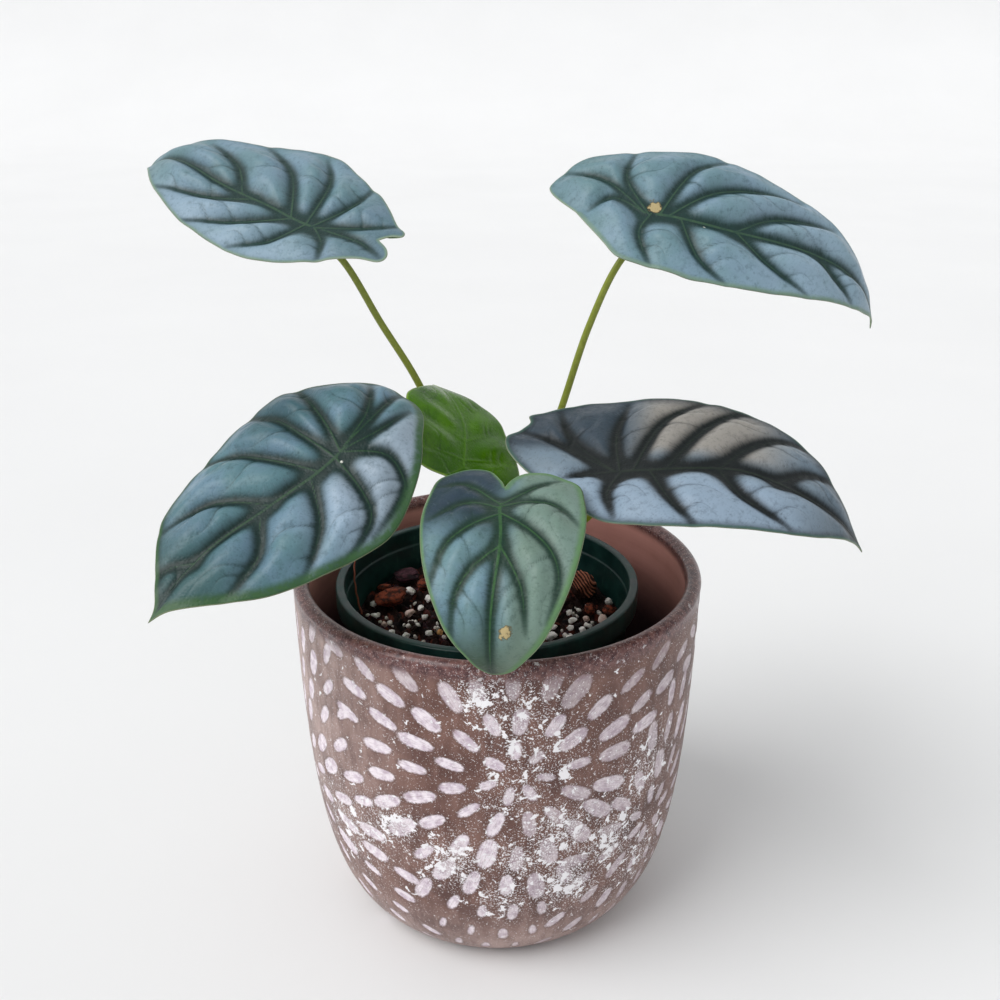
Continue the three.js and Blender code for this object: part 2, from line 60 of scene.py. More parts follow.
class Look:
    """A node material: its methods add nodes and return their output sockets."""

    def __init__(self, name, roughness=0.5, specular=0.5):
        self.material = bpy.data.materials.new(name)
        self.material.use_nodes = True
        self.tree = self.material.node_tree
        self.shader = self.tree.nodes["Principled BSDF"]
        self.shader.inputs["Roughness"].default_value = roughness
        self.shader.inputs["Specular IOR Level"].default_value = specular
        self.place = self.node("ShaderNodeTexCoord").outputs["Object"]
        self.colour = None

    def node(self, kind):
        return self.tree.nodes.new(kind)

    def feed(self, socket, value):
        """Links a socket, or sets a number, or a colour given by three numbers from 0 to 255."""
        if isinstance(value, bpy.types.NodeSocket):
            self.tree.links.new(value, socket)
            return
        if socket.type == "RGBA" and isinstance(value, float):
            value = (value, value, value, 1)
        if socket.type == "RGBA" and len(value) == 3:
            value = rgb(*value)
        socket.default_value = value

    def math(self, operation, first, second=0.0):
        node = self.node("ShaderNodeMath")
        node.operation = operation
        self.feed(node.inputs[0], first)
        self.feed(node.inputs[1], second)
        return node.outputs[0]

    def ease(self, value, low, high, start=0.0, end=1.0):
        """A smooth step of value from start at low to end at high."""
        node = self.node("ShaderNodeMapRange")
        node.interpolation_type = "SMOOTHSTEP"
        for socket, number in zip(node.inputs, (value, low, high, start, end)):
            self.feed(socket, number)
        return node.outputs[0]

    def times(self, first, second):
        return self.math("MULTIPLY", first, second)

    def plus(self, first, second):
        return self.math("ADD", first, second)

    def blend(self, share, first, second):
        node = self.node("ShaderNodeMix")
        node.data_type = "RGBA"
        self.feed(node.inputs["Factor"], share)
        self.feed(node.inputs[6], first)
        self.feed(node.inputs[7], second)
        return node.outputs[2]

    def tint(self, share, colour):
        """Lays a colour over the look's own colour, by a share."""
        self.colour = self.blend(share, self.colour, colour)

    def attribute(self, name, output="Fac"):
        node = self.node("ShaderNodeAttribute")
        node.attribute_name = name
        return node.outputs[output]

    def noise(self, per_mm, detail=2.0, rough=0.5, warp=0.0):
        node = self.node("ShaderNodeTexNoise")
        self.feed(node.inputs["Vector"], self.place)
        node.inputs["Scale"].default_value = per_mm / MM
        node.inputs["Detail"].default_value = detail
        node.inputs["Roughness"].default_value = rough
        node.inputs["Distortion"].default_value = warp
        return node.outputs["Fac"]

    def streaks(self, scale, detail, rough=0.5, vector=None):
        """Noise drawn out by a different scale along each axis."""
        stretch = self.node("ShaderNodeVectorMath")
        stretch.operation = "MULTIPLY"
        self.feed(stretch.inputs[0], self.place if vector is None else vector)
        stretch.inputs[1].default_value = scale
        streaks = self.noise(MM, detail, rough)
        self.feed(streaks.node.inputs["Vector"], stretch.outputs[0])
        return streaks

    def cells(self, per_mm):
        node = self.node("ShaderNodeTexVoronoi")
        self.feed(node.inputs["Vector"], self.place)
        node.inputs["Scale"].default_value = per_mm / MM
        return node.outputs["Distance"]

    def bump(self, height, depth_mm, strength=1.0):
        node = self.node("ShaderNodeBump")
        node.inputs["Strength"].default_value = strength
        node.inputs["Distance"].default_value = depth_mm * MM
        self.feed(node.inputs["Height"], height)
        if self.shader.inputs["Normal"].is_linked:
            self.feed(node.inputs["Normal"], self.shader.inputs["Normal"].links[0].from_socket)
        self.feed(self.shader.inputs["Normal"], node.outputs[0])

    def finish(self, roughness=None):
        self.feed(self.shader.inputs["Base Color"], self.colour)
        if roughness is not None:
            self.feed(self.shader.inputs["Roughness"], roughness)
        return self.material


# Meshes: points are in mm in the CAD frame, and become metres here

def add_piece(name, points, faces, looks, nodes, values=None, face_looks=None):
    """A smooth shaded piece that rides on the one body and stands for some CAD nodes."""
    mesh = bpy.data.meshes.new(name)
    mesh.from_pydata((np.asarray(points) * MM).tolist(), [], faces)
    for attribute, numbers in (values or {}).items():
        numbers = np.asarray(numbers, np.float32)
        kind, field = ("FLOAT", "value") if numbers.ndim == 1 else ("FLOAT_VECTOR", "vector")
        mesh.attributes.new(attribute, kind, "POINT").data.foreach_set(field, numbers.ravel())
    for look in looks:
        mesh.materials.append(look)
    if face_looks is not None:
        mesh.polygons.foreach_set("material_index", np.asarray(face_looks, np.int32))
    mesh.polygons.foreach_set("use_smooth", np.ones(len(mesh.polygons), bool))
    mesh.update()
    piece = bpy.data.objects.new(name, mesh)
    bpy.context.scene.collection.objects.link(piece)
    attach(piece, "root")
    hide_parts(*nodes)
    return piece


def travelled(line):
    """How far along a line each of its points lies."""
    return np.r_[0, np.cumsum(np.linalg.norm(np.diff(line, axis=0), axis=1))]


def points_at(line, distances):
    """The points of a line at some distances along it."""
    far = travelled(line)
    return np.stack([np.interp(distances, far, part) for part in line.T], -1)


def full_turn(count):
    return np.arange(count) * 2 * math.pi / count


def wrapped(angle):
    return (angle + math.pi) % (2 * math.pi) - math.pi


def around(centre, radius, angle, height=0.0):
    """Points at an angle from +X round a centre, where each part is a number or an array."""
    parts = (centre[0] + radius * np.cos(angle), centre[1] + radius * np.sin(angle), height)
    return np.stack(np.broadcast_arrays(*parts), -1)


def tube_faces(rings, sides):
    """Faces of a closed tube of rings, whose two end points come after the rings' points."""
    first_end, last_ring = rings * sides, (rings - 1) * sides
    faces = []
    for step in range(sides):
        after = (step + 1) % sides
        faces.append((first_end, after, step))
        faces.append((first_end + 1, last_ring + step, last_ring + after))
        for low in range(0, last_ring, sides):
            high = low + sides
            faces.append((low + step, low + after, high + after, high + step))
    return faces


def lathe(profile, segments, centre=(0.0, 0.0)):
    """A turned closed mesh from (radius, height) points that start and end on the axis."""
    profile = np.asarray(profile, float)
    angles = full_turn(segments) - math.pi / 2
    rings = around(centre, profile[1:-1, :1], angles, profile[1:-1, 1:])
    ends = [[*centre, profile[0, 1]], [*centre, profile[-1, 1]]]
    return np.vstack([rings.reshape(-1, 3), ends]), tube_faces(len(rings), segments)


def bezier(points, steps):
    a, b, c, d = (np.array(point, float) for point in points)
    t = np.linspace(0, 1, steps + 1)[:, None]
    return a * (1 - t) ** 3 + 3 * b * t * (1 - t) ** 2 + 3 * c * t**2 * (1 - t) + d * t**3


def rounded(profile, radius, steps=5):
    """The profile with each inner corner cut by a small curve."""
    profile = [np.array(point, float) for point in profile]
    result = [profile[0]]
    for before, corner, after in zip(profile, profile[1:], profile[2:]):
        into, out = before - corner, after - corner
        into_reach = min(radius, 0.45 * np.linalg.norm(into))
        out_reach = min(radius, 0.45 * np.linalg.norm(out))
        start = corner + into / np.linalg.norm(into) * into_reach
        end = corner + out / np.linalg.norm(out) * out_reach
        for t in np.linspace(0, 1, steps):
            result.append(start * (1 - t) ** 2 + 2 * corner * t * (1 - t) + end * t**2)
    result.append(profile[-1])
    return np.array(result)


def smooth_curve(points, steps):
    """A uniform Catmull-Rom curve through the points, with its ends held."""
    points = np.array(points, float)
    spans = len(points) - 1
    t = np.linspace(0, spans, steps + 1)
    index = np.minimum(t.astype(int), spans - 1)
    w = (t - index)[:, None]
    p0 = points[np.maximum(index - 1, 0)]
    p1, p2 = points[index], points[index + 1]
    p3 = points[np.minimum(index + 2, spans)]
    v0, v1 = (p2 - p0) / 2, (p3 - p1) / 2
    return (2 * p1 - 2 * p2 + v0 + v1) * w**3 + (3 * p2 - 3 * p1 - 2 * v0 - v1) * w**2 + v0 * w + p1


def ease(value, low, high):
    """A smooth step from 0 at low to 1 at high."""
    share = np.clip((value - low) / (high - low), 0, 1)
    return share * share * (3 - 2 * share)


def dip(distance, width):
    """A smooth bump that is 1 at distance 0 and falls away over the width."""
    return np.exp(-((distance / width) ** 2))


# Camera, floor and light. The camera stands where the photograph's fits the pot and its rim.
CAMERA_PITCH = math.radians(22.55)
CAMERA_DISTANCE = 400.0
CAMERA_TARGET = (0.96, 0.0, 155.14)
FOCAL_PIXELS = 1140.0
FRAME_PIXELS = 1000.0
SENSOR_MM = 36.0


def make_camera():
    data = bpy.data.cameras.new("camera")
    data.sensor_width = SENSOR_MM
    data.lens = SENSOR_MM * FOCAL_PIXELS / FRAME_PIXELS
    data.clip_start = 0.01
    camera = bpy.data.objects.new("camera", data)
    back = Vector((0, -math.cos(CAMERA_PITCH), math.sin(CAMERA_PITCH)))
    camera.location = (Vector(CAMERA_TARGET) + back * CAMERA_DISTANCE) * MM
    camera.rotation_euler = (math.pi / 2 - CAMERA_PITCH, 0, 0)
    bpy.context.scene.collection.objects.link(camera)
    bpy.context.scene.camera = camera


# The backdrop: how far it runs to each side, to the front and back, and its curve up, in metres
BACKDROP_SIDE = 8.0
BACKDROP_FRONT = -5.0
BACKDROP_BACK = 2.6
BACKDROP_CURVE = 1.4
BACKDROP_TOP = 7.0


def make_backdrop():
    turn = np.linspace(0, math.pi / 2, 25)
    middle = (BACKDROP_BACK, BACKDROP_CURVE)
    curve = around(middle, BACKDROP_CURVE, turn - math.pi / 2)[:, :2].tolist()
    line = [(BACKDROP_FRONT, 0.0), *curve, (BACKDROP_BACK + BACKDROP_CURVE, BACKDROP_TOP)]
    points = [(x, y, z) for y, z in line for x in (-BACKDROP_SIDE, BACKDROP_SIDE)]
    faces = [(2 * i, 2 * i + 1, 2 * i + 3, 2 * i + 2) for i in range(len(line) - 1)]
    mesh = bpy.data.meshes.new("backdrop")
    mesh.from_pydata(points, [], faces)
    mesh.polygons.foreach_set("use_smooth", np.ones(len(faces), bool))
    backdrop = bpy.data.objects.new("backdrop", mesh)
    bpy.context.scene.collection.objects.link(backdrop)
    look = Look("backdrop_paper", roughness=0.95, specular=0.05)
    mottle = look.noise(0.004, detail=3)
    look.colour = look.blend(mottle, (232, 232, 232), (238, 238, 238))
    mesh.materials.append(look.finish())


# The light comes from a broad source high on the left and a little in front
SKY_COLOUR = (0.97, 0.985, 1.0, 1)
SKY_STRENGTH = 0.58
KEY_POWER = 2.0
KEY_SPREAD = math.radians(46)
KEY_DIRECTION = (-0.75, -0.4, 1.0)


def make_light():
    world = bpy.data.worlds.new("studio")
    world.use_nodes = True
    sky = world.node_tree.nodes["Background"]
    sky.inputs["Color"].default_value = SKY_COLOUR
    sky.inputs["Strength"].default_value = SKY_STRENGTH
    bpy.context.scene.world = world
    bpy.context.scene.view_settings.view_transform = "Standard"
    data = bpy.data.lights.new("key", "SUN")
    data.angle = KEY_SPREAD
    data.energy = KEY_POWER
    lamp = bpy.data.objects.new("key", data)
    lamp.rotation_euler = (-Vector(KEY_DIRECTION)).to_track_quat("-Z", "Y").to_euler()
    bpy.context.scene.collection.objects.link(lamp)


# Cover pot: the same outline as its CAD solid, turned finely, with pressed strokes round its body
COVER_HEIGHT = 131.0
COVER_RIM_RADIUS = 72.5
COVER_WALL = 5.5
COVER_FLOOR = 8.0
COVER_FOOT_RADIUS = 48.0
# The ring it stands on, from the middle outward
COVER_FOOT = [(0, 1.2), (30, 1.2), (41, 1.2), (43, 0), (46, 0)]
COVER_SEGMENTS = 420
# How far the hand-made wall strays from round, and its mean radius where the slip has flaked
COVER_WOBBLE = 0.22
FLAKE_RADIUS = 70.0
STROKE_DEPTH = 0.28
# The straight share of a stroke's length, and how much one end is wider
STROKE_STRAIGHT = 0.2
STROKE_TAPER = 0.2
# Each burst of strokes: angle from the front, height up the wall, and how far it reaches
BURSTS = [
    (5, 97, 1.3), (-78, 62, 1.3), (50, 62, 1), (112, 96, 1.2), (168, 58, 1.1), (-142, 98, 1.2),
]
# Each ring of a burst: radius, number of strokes, half length and half width of one
BURST_RINGS = [
    (8.4, 7, 3.9, 2.1), (20.5, 13, 5.7, 2.6), (33.5, 20, 6.5, 2.9), (47, 28, 6.2, 2.7),
    (60, 36, 5.7, 2.5), (72.5, 44, 5.3, 2.3), (84.5, 52, 5.0, 2.2),
]
# Where the pale slip has flaked: angle, height up the wall, spread and strength
FLAKED = [
    (-4, 127, 9, 0.85), (6, 122, 14, 0.6), (17, 72, 14, 0.85), (6, 62, 12, 0.8), (-12, 60, 13, 0.85),
    (32, 62, 15, 0.8), (20, 48, 13, 0.95), (2, 44, 12, 0.7), (-30, 70, 11, 0.75), (10, 106, 20, 0.5),
    (-46, 60, 18, 0.6), (44, 86, 17, 0.6), (5, 90, 14, 0.55), (48, 46, 16, 0.6), (120, 60, 22, 0.6),
    (178, 80, 24, 0.6), (-110, 60, 24, 0.55), (-150, 50, 20, 0.5), (80, 46, 16, 0.5),
]


# How many rows of mesh go up the wall, and where strokes may stand, in mm up along it
WALL_ROWS = 142
STROKE_SPAN = (6, 131.5)
STROKE_JITTER = 0.12
RING_JITTER = 0.9
NO_STROKE = 9.0
# Where the dark rim and the bare inside begin, in mm up along the wall and over the lip
RIM_FROM = 129.5
INSIDE_FROM = 143.0


def cover_wall():
    """Evenly spaced (radius, height) points up the outside, and how far up the wall each lies."""
    foot, top = (COVER_FOOT_RADIUS, 0), (COVER_RIM_RADIUS, COVER_HEIGHT - COVER_WALL / 2)
    curve = bezier([foot, (66, 7), (71.5, 46), top], 600)
    up = np.linspace(0, travelled(curve)[-1], WALL_ROWS)
    return up, points_at(curve, up)


WALL_UP, WALL_OUTLINE = cover_wall()


def wall_radius(up):
    return np.interp(up, WALL_UP, WALL_OUTLINE[:, 0])


def lay_strokes(rng):
    """Places every stroke on the unrolled wall: angle, height, direction, half sizes and tone."""
    strokes = []
    centres = [(math.radians(angle), height, reach) for angle, height, reach in BURSTS]
    for own, (angle, height, _) in enumerate(centres):
        for radius, count, half_length, half_width in BURST_RINGS:
            turn = rng.uniform(0, 2 * math.pi)
            for step in range(count):
                jitter = rng.uniform(-STROKE_JITTER, STROKE_JITTER)
                way = turn + 2 * math.pi * (step + jitter) / count
                reach = radius + rng.uniform(-RING_JITTER, RING_JITTER)
                up = height + reach * math.sin(way)
                if not STROKE_SPAN[0] < up < STROKE_SPAN[1]:
                    continue
                side = angle + reach * math.cos(way) / wall_radius(up)
                # A stroke belongs to the nearest burst, so the bursts meet without crossing
                near = []
                for other_angle, other_height, other_reach in centres:
                    across = wrapped(side - other_angle) * wall_radius((up + other_height) / 2)
                    near.append(math.hypot(across, up - other_height) / other_reach)
                if min(near) < near[own]:
                    continue
                # Strokes are fainter below the rim and near the foot; round the side away from the
                # light they are fainter too, which is painted shade
                fade = 1 - 0.45 * ease(up, 116, 132) - 0.3 * ease(30 - up, 0, 20)
                fade *= 1 - 0.42 * ease(math.cos(side + 1.1), 0.75, 0.1)
                size = rng.uniform(0.84, 1.12) * (0.75 if up < 44 else 1)
                lean = rng.uniform(-STROKE_JITTER, STROKE_JITTER)
                strokes.append((
                    side, up, way + lean, half_length * size,
                    half_width * size * rng.uniform(0.85, 1.15), fade * rng.uniform(0.72, 1),
                ))
    return strokes


def stroke_values(height, angle, strokes):
    """For each wall vertex the distance in mm to the nearest stroke's edge and its place in it."""
    nearest = np.full(height.shape, NO_STROKE)
    inside = np.zeros((*height.shape, 3))
    radius = wall_radius(height)
    for side, up, way, half_length, half_width, tone in strokes:
        rows = np.abs(height[:, 0] - up) < half_length + 5
        across = wrapped(angle[rows] - side) * radius[rows]
        rise = height[rows] - up
        u = across * math.cos(way) + rise * math.sin(way)
        v = rise * math.cos(way) - across * math.sin(way)
        straight = half_length * STROKE_STRAIGHT
        width = half_width * (1 + STROKE_TAPER * np.clip(u / half_length, -1, 1))
        past = np.maximum(np.abs(u) - straight, 0) * half_width / (half_length - straight)
        edge = np.hypot(past, v) - width
        closer = edge < nearest[rows]
        nearest[rows] = np.where(closer, edge, nearest[rows])
        place = np.stack([u, v, np.full(u.shape, tone)], -1)
        inside[rows] = np.where(closer[..., None], place, inside[rows])
    return nearest, inside


def cover_pot_look():
    look = Look("cover_pot_slip", roughness=0.42, specular=0.45)
    up = look.attribute("wall_height")
    edge = look.attribute("stroke_edge")
    inside = look.attribute("stroke_place", "Vector")
    tone = look.attribute("stroke_tone")
    flaked = look.attribute("flaked")
    drag = look.streaks((350, 350, 60), 4, 0.6)
    cloud = look.noise(0.06, detail=5, rough=0.6)
    grain = look.noise(1.6, detail=4, rough=0.65)
    body = look.blend(look.ease(cloud, 0.3, 0.7), (86, 53, 46), (124, 89, 78))
    body = look.blend(look.ease(drag, 0.42, 0.78, 0, 0.5), body, (150, 115, 106))
    body = look.blend(look.ease(grain, 0.6, 0.8, 0, 0.55), body, (92, 66, 58))
    worn = look.times(look.ease(cloud, 0.3, 0.7, 0.45, 1), look.ease(drag, 0.3, 0.6, 0.5, 1))
    # Pale patches: on the left side they are painted light, where the light falls on the pot; near
    # the foot they are the slip's own pale haze
    body = look.blend(look.times(look.attribute("bloom"), worn), body, (206, 182, 176))
    ragged = look.times(look.math("SUBTRACT", look.noise(1.3, 3, 0.6), 0.5), 1.1)
    edge = look.plus(edge, ragged)
    streak = look.streaks((0.35, 2.4, 9), 3, 0.6, inside)
    cover = look.times(look.ease(edge, -0.7, 0.1, 1, 0), look.ease(streak, 0.22, 0.55, 0.5, 1))
    # A stroke's tone is partly random and partly painted shade: strokes are paler on the lit left
    # side than round the other side
    cover = look.times(cover, look.ease(tone, 0.2, 0.8, 0.35, 1))
    cover = look.times(cover, look.ease(flaked, 0.3, 1, 1, 0.55))
    paint = look.blend(look.ease(look.noise(0.4, 4), 0.35, 0.7), (252, 241, 248), (208, 190, 204))
    look.colour = look.blend(cover, body, paint)
    shadow = look.times(look.ease(edge, 0.0, 0.5, 1, 0), look.ease(edge, -0.5, 0.0, 0, 0.35))
    look.tint(shadow, (84, 60, 54))
    chip_noise = look.noise(0.3, detail=6, rough=0.62, warp=0.4)
    chip = look.plus(chip_noise, look.times(flaked, 0.165))
    fine = look.plus(look.noise(1.7, detail=4, rough=0.65), look.times(flaked, 0.13))
    fine_chip = look.ease(fine, 0.625, 0.655, 0, 0.9)
    chip = look.math("MAXIMUM", look.ease(chip, 0.652, 0.672), fine_chip)
    on_body = look.ease(up, RIM_FROM, RIM_FROM + 4, 1, 0.45)
    outside = look.ease(up, INSIDE_FROM, INSIDE_FROM + 4, 1, 0)
    chip = look.times(chip, look.times(on_body, outside))
    rim = look.ease(up, RIM_FROM, RIM_FROM + 4.5, 0, 1)
    rim = look.times(rim, look.ease(up, INSIDE_FROM, INSIDE_FROM + 3, 1, 0))
    glaze = look.ease(look.noise(0.5, 4, 0.65), 0.3, 0.7)
    pitted = look.ease(look.noise(1.4, 4, 0.7), 0.56, 0.66, 0, 0.6)
    rim_colour = look.blend(pitted, look.blend(glaze, (66, 36, 40), (122, 84, 80)), (196, 164, 158))
    look.tint(rim, rim_colour)
    look.tint(chip, (252, 249, 252))
    inner = look.ease(up, INSIDE_FROM, INSIDE_FROM + 3.5, 0, 1)
    rings = look.streaks((15, 15, 420), 3)
    clay = look.blend(look.times(rings, look.noise(0.09, 4)), (204, 144, 134), (164, 106, 98))
    # Painted shade: the inside wall is painted darker the deeper it goes
    painted_inside_shade = look.ease(up, INSIDE_FROM + 9, INSIDE_FROM + 39, 0, 0.95)
    clay = look.blend(painted_inside_shade, clay, (38, 20, 28))
    look.tint(inner, clay)
    rough = look.blend(chip, look.blend(rim, look.ease(grain, 0.3, 0.7, 0.34, 0.5), 0.28), 0.7)
    rough = look.math("MAXIMUM", rough, look.times(inner, 0.72))
    look.bump(look.plus(grain, look.times(chip, 1.2)), 0.06, 0.6)
    look.bump(look.noise(0.25, 3), 0.25, 0.35)
    return look.finish(rough)


def cover_profile():
    """The pot's (radius, height) outline from under its foot over the lip to its floor."""
    lip_radius = COVER_WALL / 2
    lip_centre = (COVER_RIM_RADIUS - lip_radius, COVER_HEIGHT - lip_radius)
    lip = around(lip_centre, lip_radius, np.linspace(0, math.pi, 15)[1:])[:, :2]
    inner_top = (COVER_RIM_RADIUS - COVER_WALL, lip_centre[1])
    inside = bezier([inner_top, (66, 50), (61, COVER_FLOOR + 4), (46, COVER_FLOOR)], 26)[1:]
    floor = [(30, COVER_FLOOR), (0, COVER_FLOOR)]
    return np.vstack([COVER_FOOT, WALL_OUTLINE, lip, inside, floor])


def make_cover_pot():
    profile = cover_profile()
    points, faces = lathe(profile, COVER_SEGMENTS)
    up = travelled(profile[1:-1])
    up -= up[len(COVER_FOOT) - 1]
    height, angle = np.meshgrid(up, full_turn(COVER_SEGMENTS), indexing="ij")
    edge, place = stroke_values(height, angle, lay_strokes(np.random.default_rng(11)))
    on_wall = (height > 0) & (height < WALL_UP[-1])
    edge = np.where(on_wall, edge, NO_STROKE)
    flaked = np.zeros(edge.shape)
    for turn, middle, spread, strength in FLAKED:
        across = wrapped(angle - math.radians(turn)) * FLAKE_RADIUS
        flaked = np.maximum(flaked, strength * dip(np.hypot(across, height - middle), spread))
    # Painted light on the left side, where the light falls, with the slip's own pale haze near the
    # foot
    bloom = 0.8 * ease(np.cos(angle + 1.5), 0.35, 0.95) * ease(height, 0, 130)
    bloom = np.maximum(bloom, 0.55 * ease(44 - height, 0, 30)) * on_wall
    body = points[:-2].reshape(*height.shape, 3)
    outward = body * (1, 1, 0)
    outward /= np.linalg.norm(outward, axis=-1, keepdims=True)
    wobble = COVER_WOBBLE * np.sin(3 * angle + 0.03 * height) * on_wall * ease(height, 0, 30)
    body -= outward * (STROKE_DEPTH * ease(-edge, -0.5, 0.7) + wobble)[..., None]
    values = {
        "wall_height": height, "stroke_edge": edge, "stroke_place": place,
        "stroke_tone": place[..., 2], "flaked": flaked, "bloom": bloom,
    }
    for name, grid in values.items():
        values[name] = np.concatenate([*grid, grid[:1, 0], grid[-1:, 0]])
    add_piece(
        "cover_pot_body", points, faces, [cover_pot_look()], ["cover_pot"], values
    )


# Nursery pot: thin moulded plastic with a rolled rim, a step ring inside and drain holes
NURSERY_CENTRE = (-3.7, -1.3)
NURSERY_RIM_RADIUS = 54.0
NURSERY_RIM_TOP = 126.0
NURSERY_RIM_DEPTH = 7.8
NURSERY_LIP_WIDTH = 3.1
NURSERY_WALL = 1.2
NURSERY_ROLL = 1.0
NURSERY_BASE_RADIUS = 38.5
NURSERY_BASE_HEIGHT = 8.3
NURSERY_FLOOR = 1.6
DRAIN_HOLES = 6
DRAIN_HOLE_RADIUS = 4.0
DRAIN_RING_RADIUS = 27.0
NURSERY_SHOULDER = NURSERY_RIM_TOP - NURSERY_RIM_DEPTH
NURSERY_FLOOR_TOP = NURSERY_BASE_HEIGHT + NURSERY_FLOOR


def nursery_inner_radius(height):
    top = NURSERY_RIM_RADIUS - NURSERY_LIP_WIDTH - 0.6
    bottom = NURSERY_BASE_RADIUS - NURSERY_WALL
    share = (height - NURSERY_FLOOR_TOP) / (NURSERY_SHOULDER - NURSERY_FLOOR_TOP)
    return bottom + (top - bottom) * share


def nursery_look():
    look = Look("nursery_plastic", roughness=0.45, specular=0.35)
    dust = look.noise(0.12, detail=5, rough=0.65)
    scuff = look.streaks((900, 900, 120), 3)
    look.colour = look.blend(look.ease(dust, 0.4, 0.8), (8, 40, 38), (24, 66, 60))
    look.tint(look.ease(scuff, 0.62, 0.8, 0, 0.3), (84, 120, 108))
    look.bump(look.noise(0.9, 3), 0.03, 0.4)
    return look.finish(look.ease(dust, 0.3, 0.7, 0.3, 0.5))


def drill_holes(pot):
    drill = bmesh.new()
    for angle in full_turn(DRAIN_HOLES):
        made = bmesh.ops.create_cone(
            drill, segments=32, cap_ends=True, depth=12 * MM,
            radius1=DRAIN_HOLE_RADIUS * MM, radius2=DRAIN_HOLE_RADIUS * MM,
        )
        spot = around(NURSERY_CENTRE, DRAIN_RING_RADIUS, angle, NURSERY_BASE_HEIGHT)
        bmesh.ops.translate(drill, verts=made["verts"], vec=Vector(spot) * MM)
    drill_mesh = bpy.data.meshes.new("drill")
    drill.to_mesh(drill_mesh)
    drill.free()
    drill_object = bpy.data.objects.new("drill", drill_mesh)
    bpy.context.scene.collection.objects.link(drill_object)
    cut = pot.modifiers.new("drain_holes", "BOOLEAN")
    cut.operation = "DIFFERENCE"
    cut.object = drill_object
    bpy.context.view_layer.update()
    cut_pot = pot.evaluated_get(bpy.context.evaluated_depsgraph_get())
    drilled = bpy.data.meshes.new_from_object(cut_pot)
    pot.modifiers.clear()
    pot.data = drilled
    bpy.data.objects.remove(drill_object)


def make_nursery_pot():
    shoulder, floor = NURSERY_SHOULDER, NURSERY_FLOOR_TOP
    rim = NURSERY_RIM_RADIUS
    lip_inner = rim - NURSERY_LIP_WIDTH
    under_roll = NURSERY_RIM_TOP - NURSERY_ROLL * 1.6
    profile = [
        (0, NURSERY_BASE_HEIGHT), (NURSERY_BASE_RADIUS, NURSERY_BASE_HEIGHT),
        (nursery_inner_radius(shoulder) + NURSERY_WALL, shoulder),
        (lip_inner + NURSERY_WALL, under_roll), (rim - NURSERY_ROLL, under_roll),
        (rim - NURSERY_ROLL, shoulder), (rim, shoulder), (rim, NURSERY_RIM_TOP),
        (lip_inner, NURSERY_RIM_TOP), (lip_inner, shoulder + 1.3), (lip_inner - 0.5, shoulder + 0.7),
        (nursery_inner_radius(shoulder), shoulder), (nursery_inner_radius(floor), floor),
        (0, floor),
    ]
    points, faces = lathe(rounded(profile, 0.8), 160, NURSERY_CENTRE)
    pot = add_piece(
        "nursery_pot_shell", points, faces, [nursery_look()], ["nursery_pot"]
    )
    drill_holes(pot)


# Potting mix, and the loose pieces that lie on it
MIX_LEVEL = 107.5
MIX_TILT = 0.07
MIX_BUMP = 0.7
MIX_GAP = 0.15
MIX_RINGS = 92
MIX_SEGMENTS = 300
# The crumbs on the mix: how many, how low and high each lies in mm, and how steep it may be
CRUMBS = 2300
CRUMB_LIFT = (-1.3, 1.1)
CRUMB_TILT = 0.55
CORM_CENTRE = (-4.0, 0.0)
CORM_RADIUS = 9.5
CORM_TOP = 112.0
CORM_TOP_RADIUS = 7.0
CORM_BOTTOM = 96.0


def mix_height(x, y):
    bumps = np.sin(x * 0.31 + 1) * np.sin(y * 0.27 - 0.6) + 0.5 * np.sin((x + y) * 0.53)
    return MIX_LEVEL + MIX_TILT * y + MIX_BUMP * bumps


def mix_look():
    look = Look("potting_mix", roughness=0.9, specular=0.2)
    kind = look.attribute("crumb")
    grain = look.noise(2.4, detail=4, rough=0.7)
    look.colour = look.blend(look.ease(kind, 0.0, 0.55), (16, 9, 11), (48, 25, 22))
    look.tint(look.ease(kind, 0.72, 0.82), (104, 48, 36))
    look.tint(look.ease(kind, 0.9, 0.93), (70, 44, 56))
    look.tint(look.ease(grain, 0.35, 0.75, 0, 0.6), (14, 8, 9))
    look.bump(grain, 0.3, 0.9)
    return look.finish(look.ease(grain, 0.3, 0.7, 0.6, 0.95))


def in_parts(job, flat, size=3000):
    """Runs a job on some of the points at a time, to save memory, and joins its results."""
    made = [job(flat[first:first + size]) for first in range(0, len(flat), size)]
    return [np.concatenate(results) for results in zip(*made)]


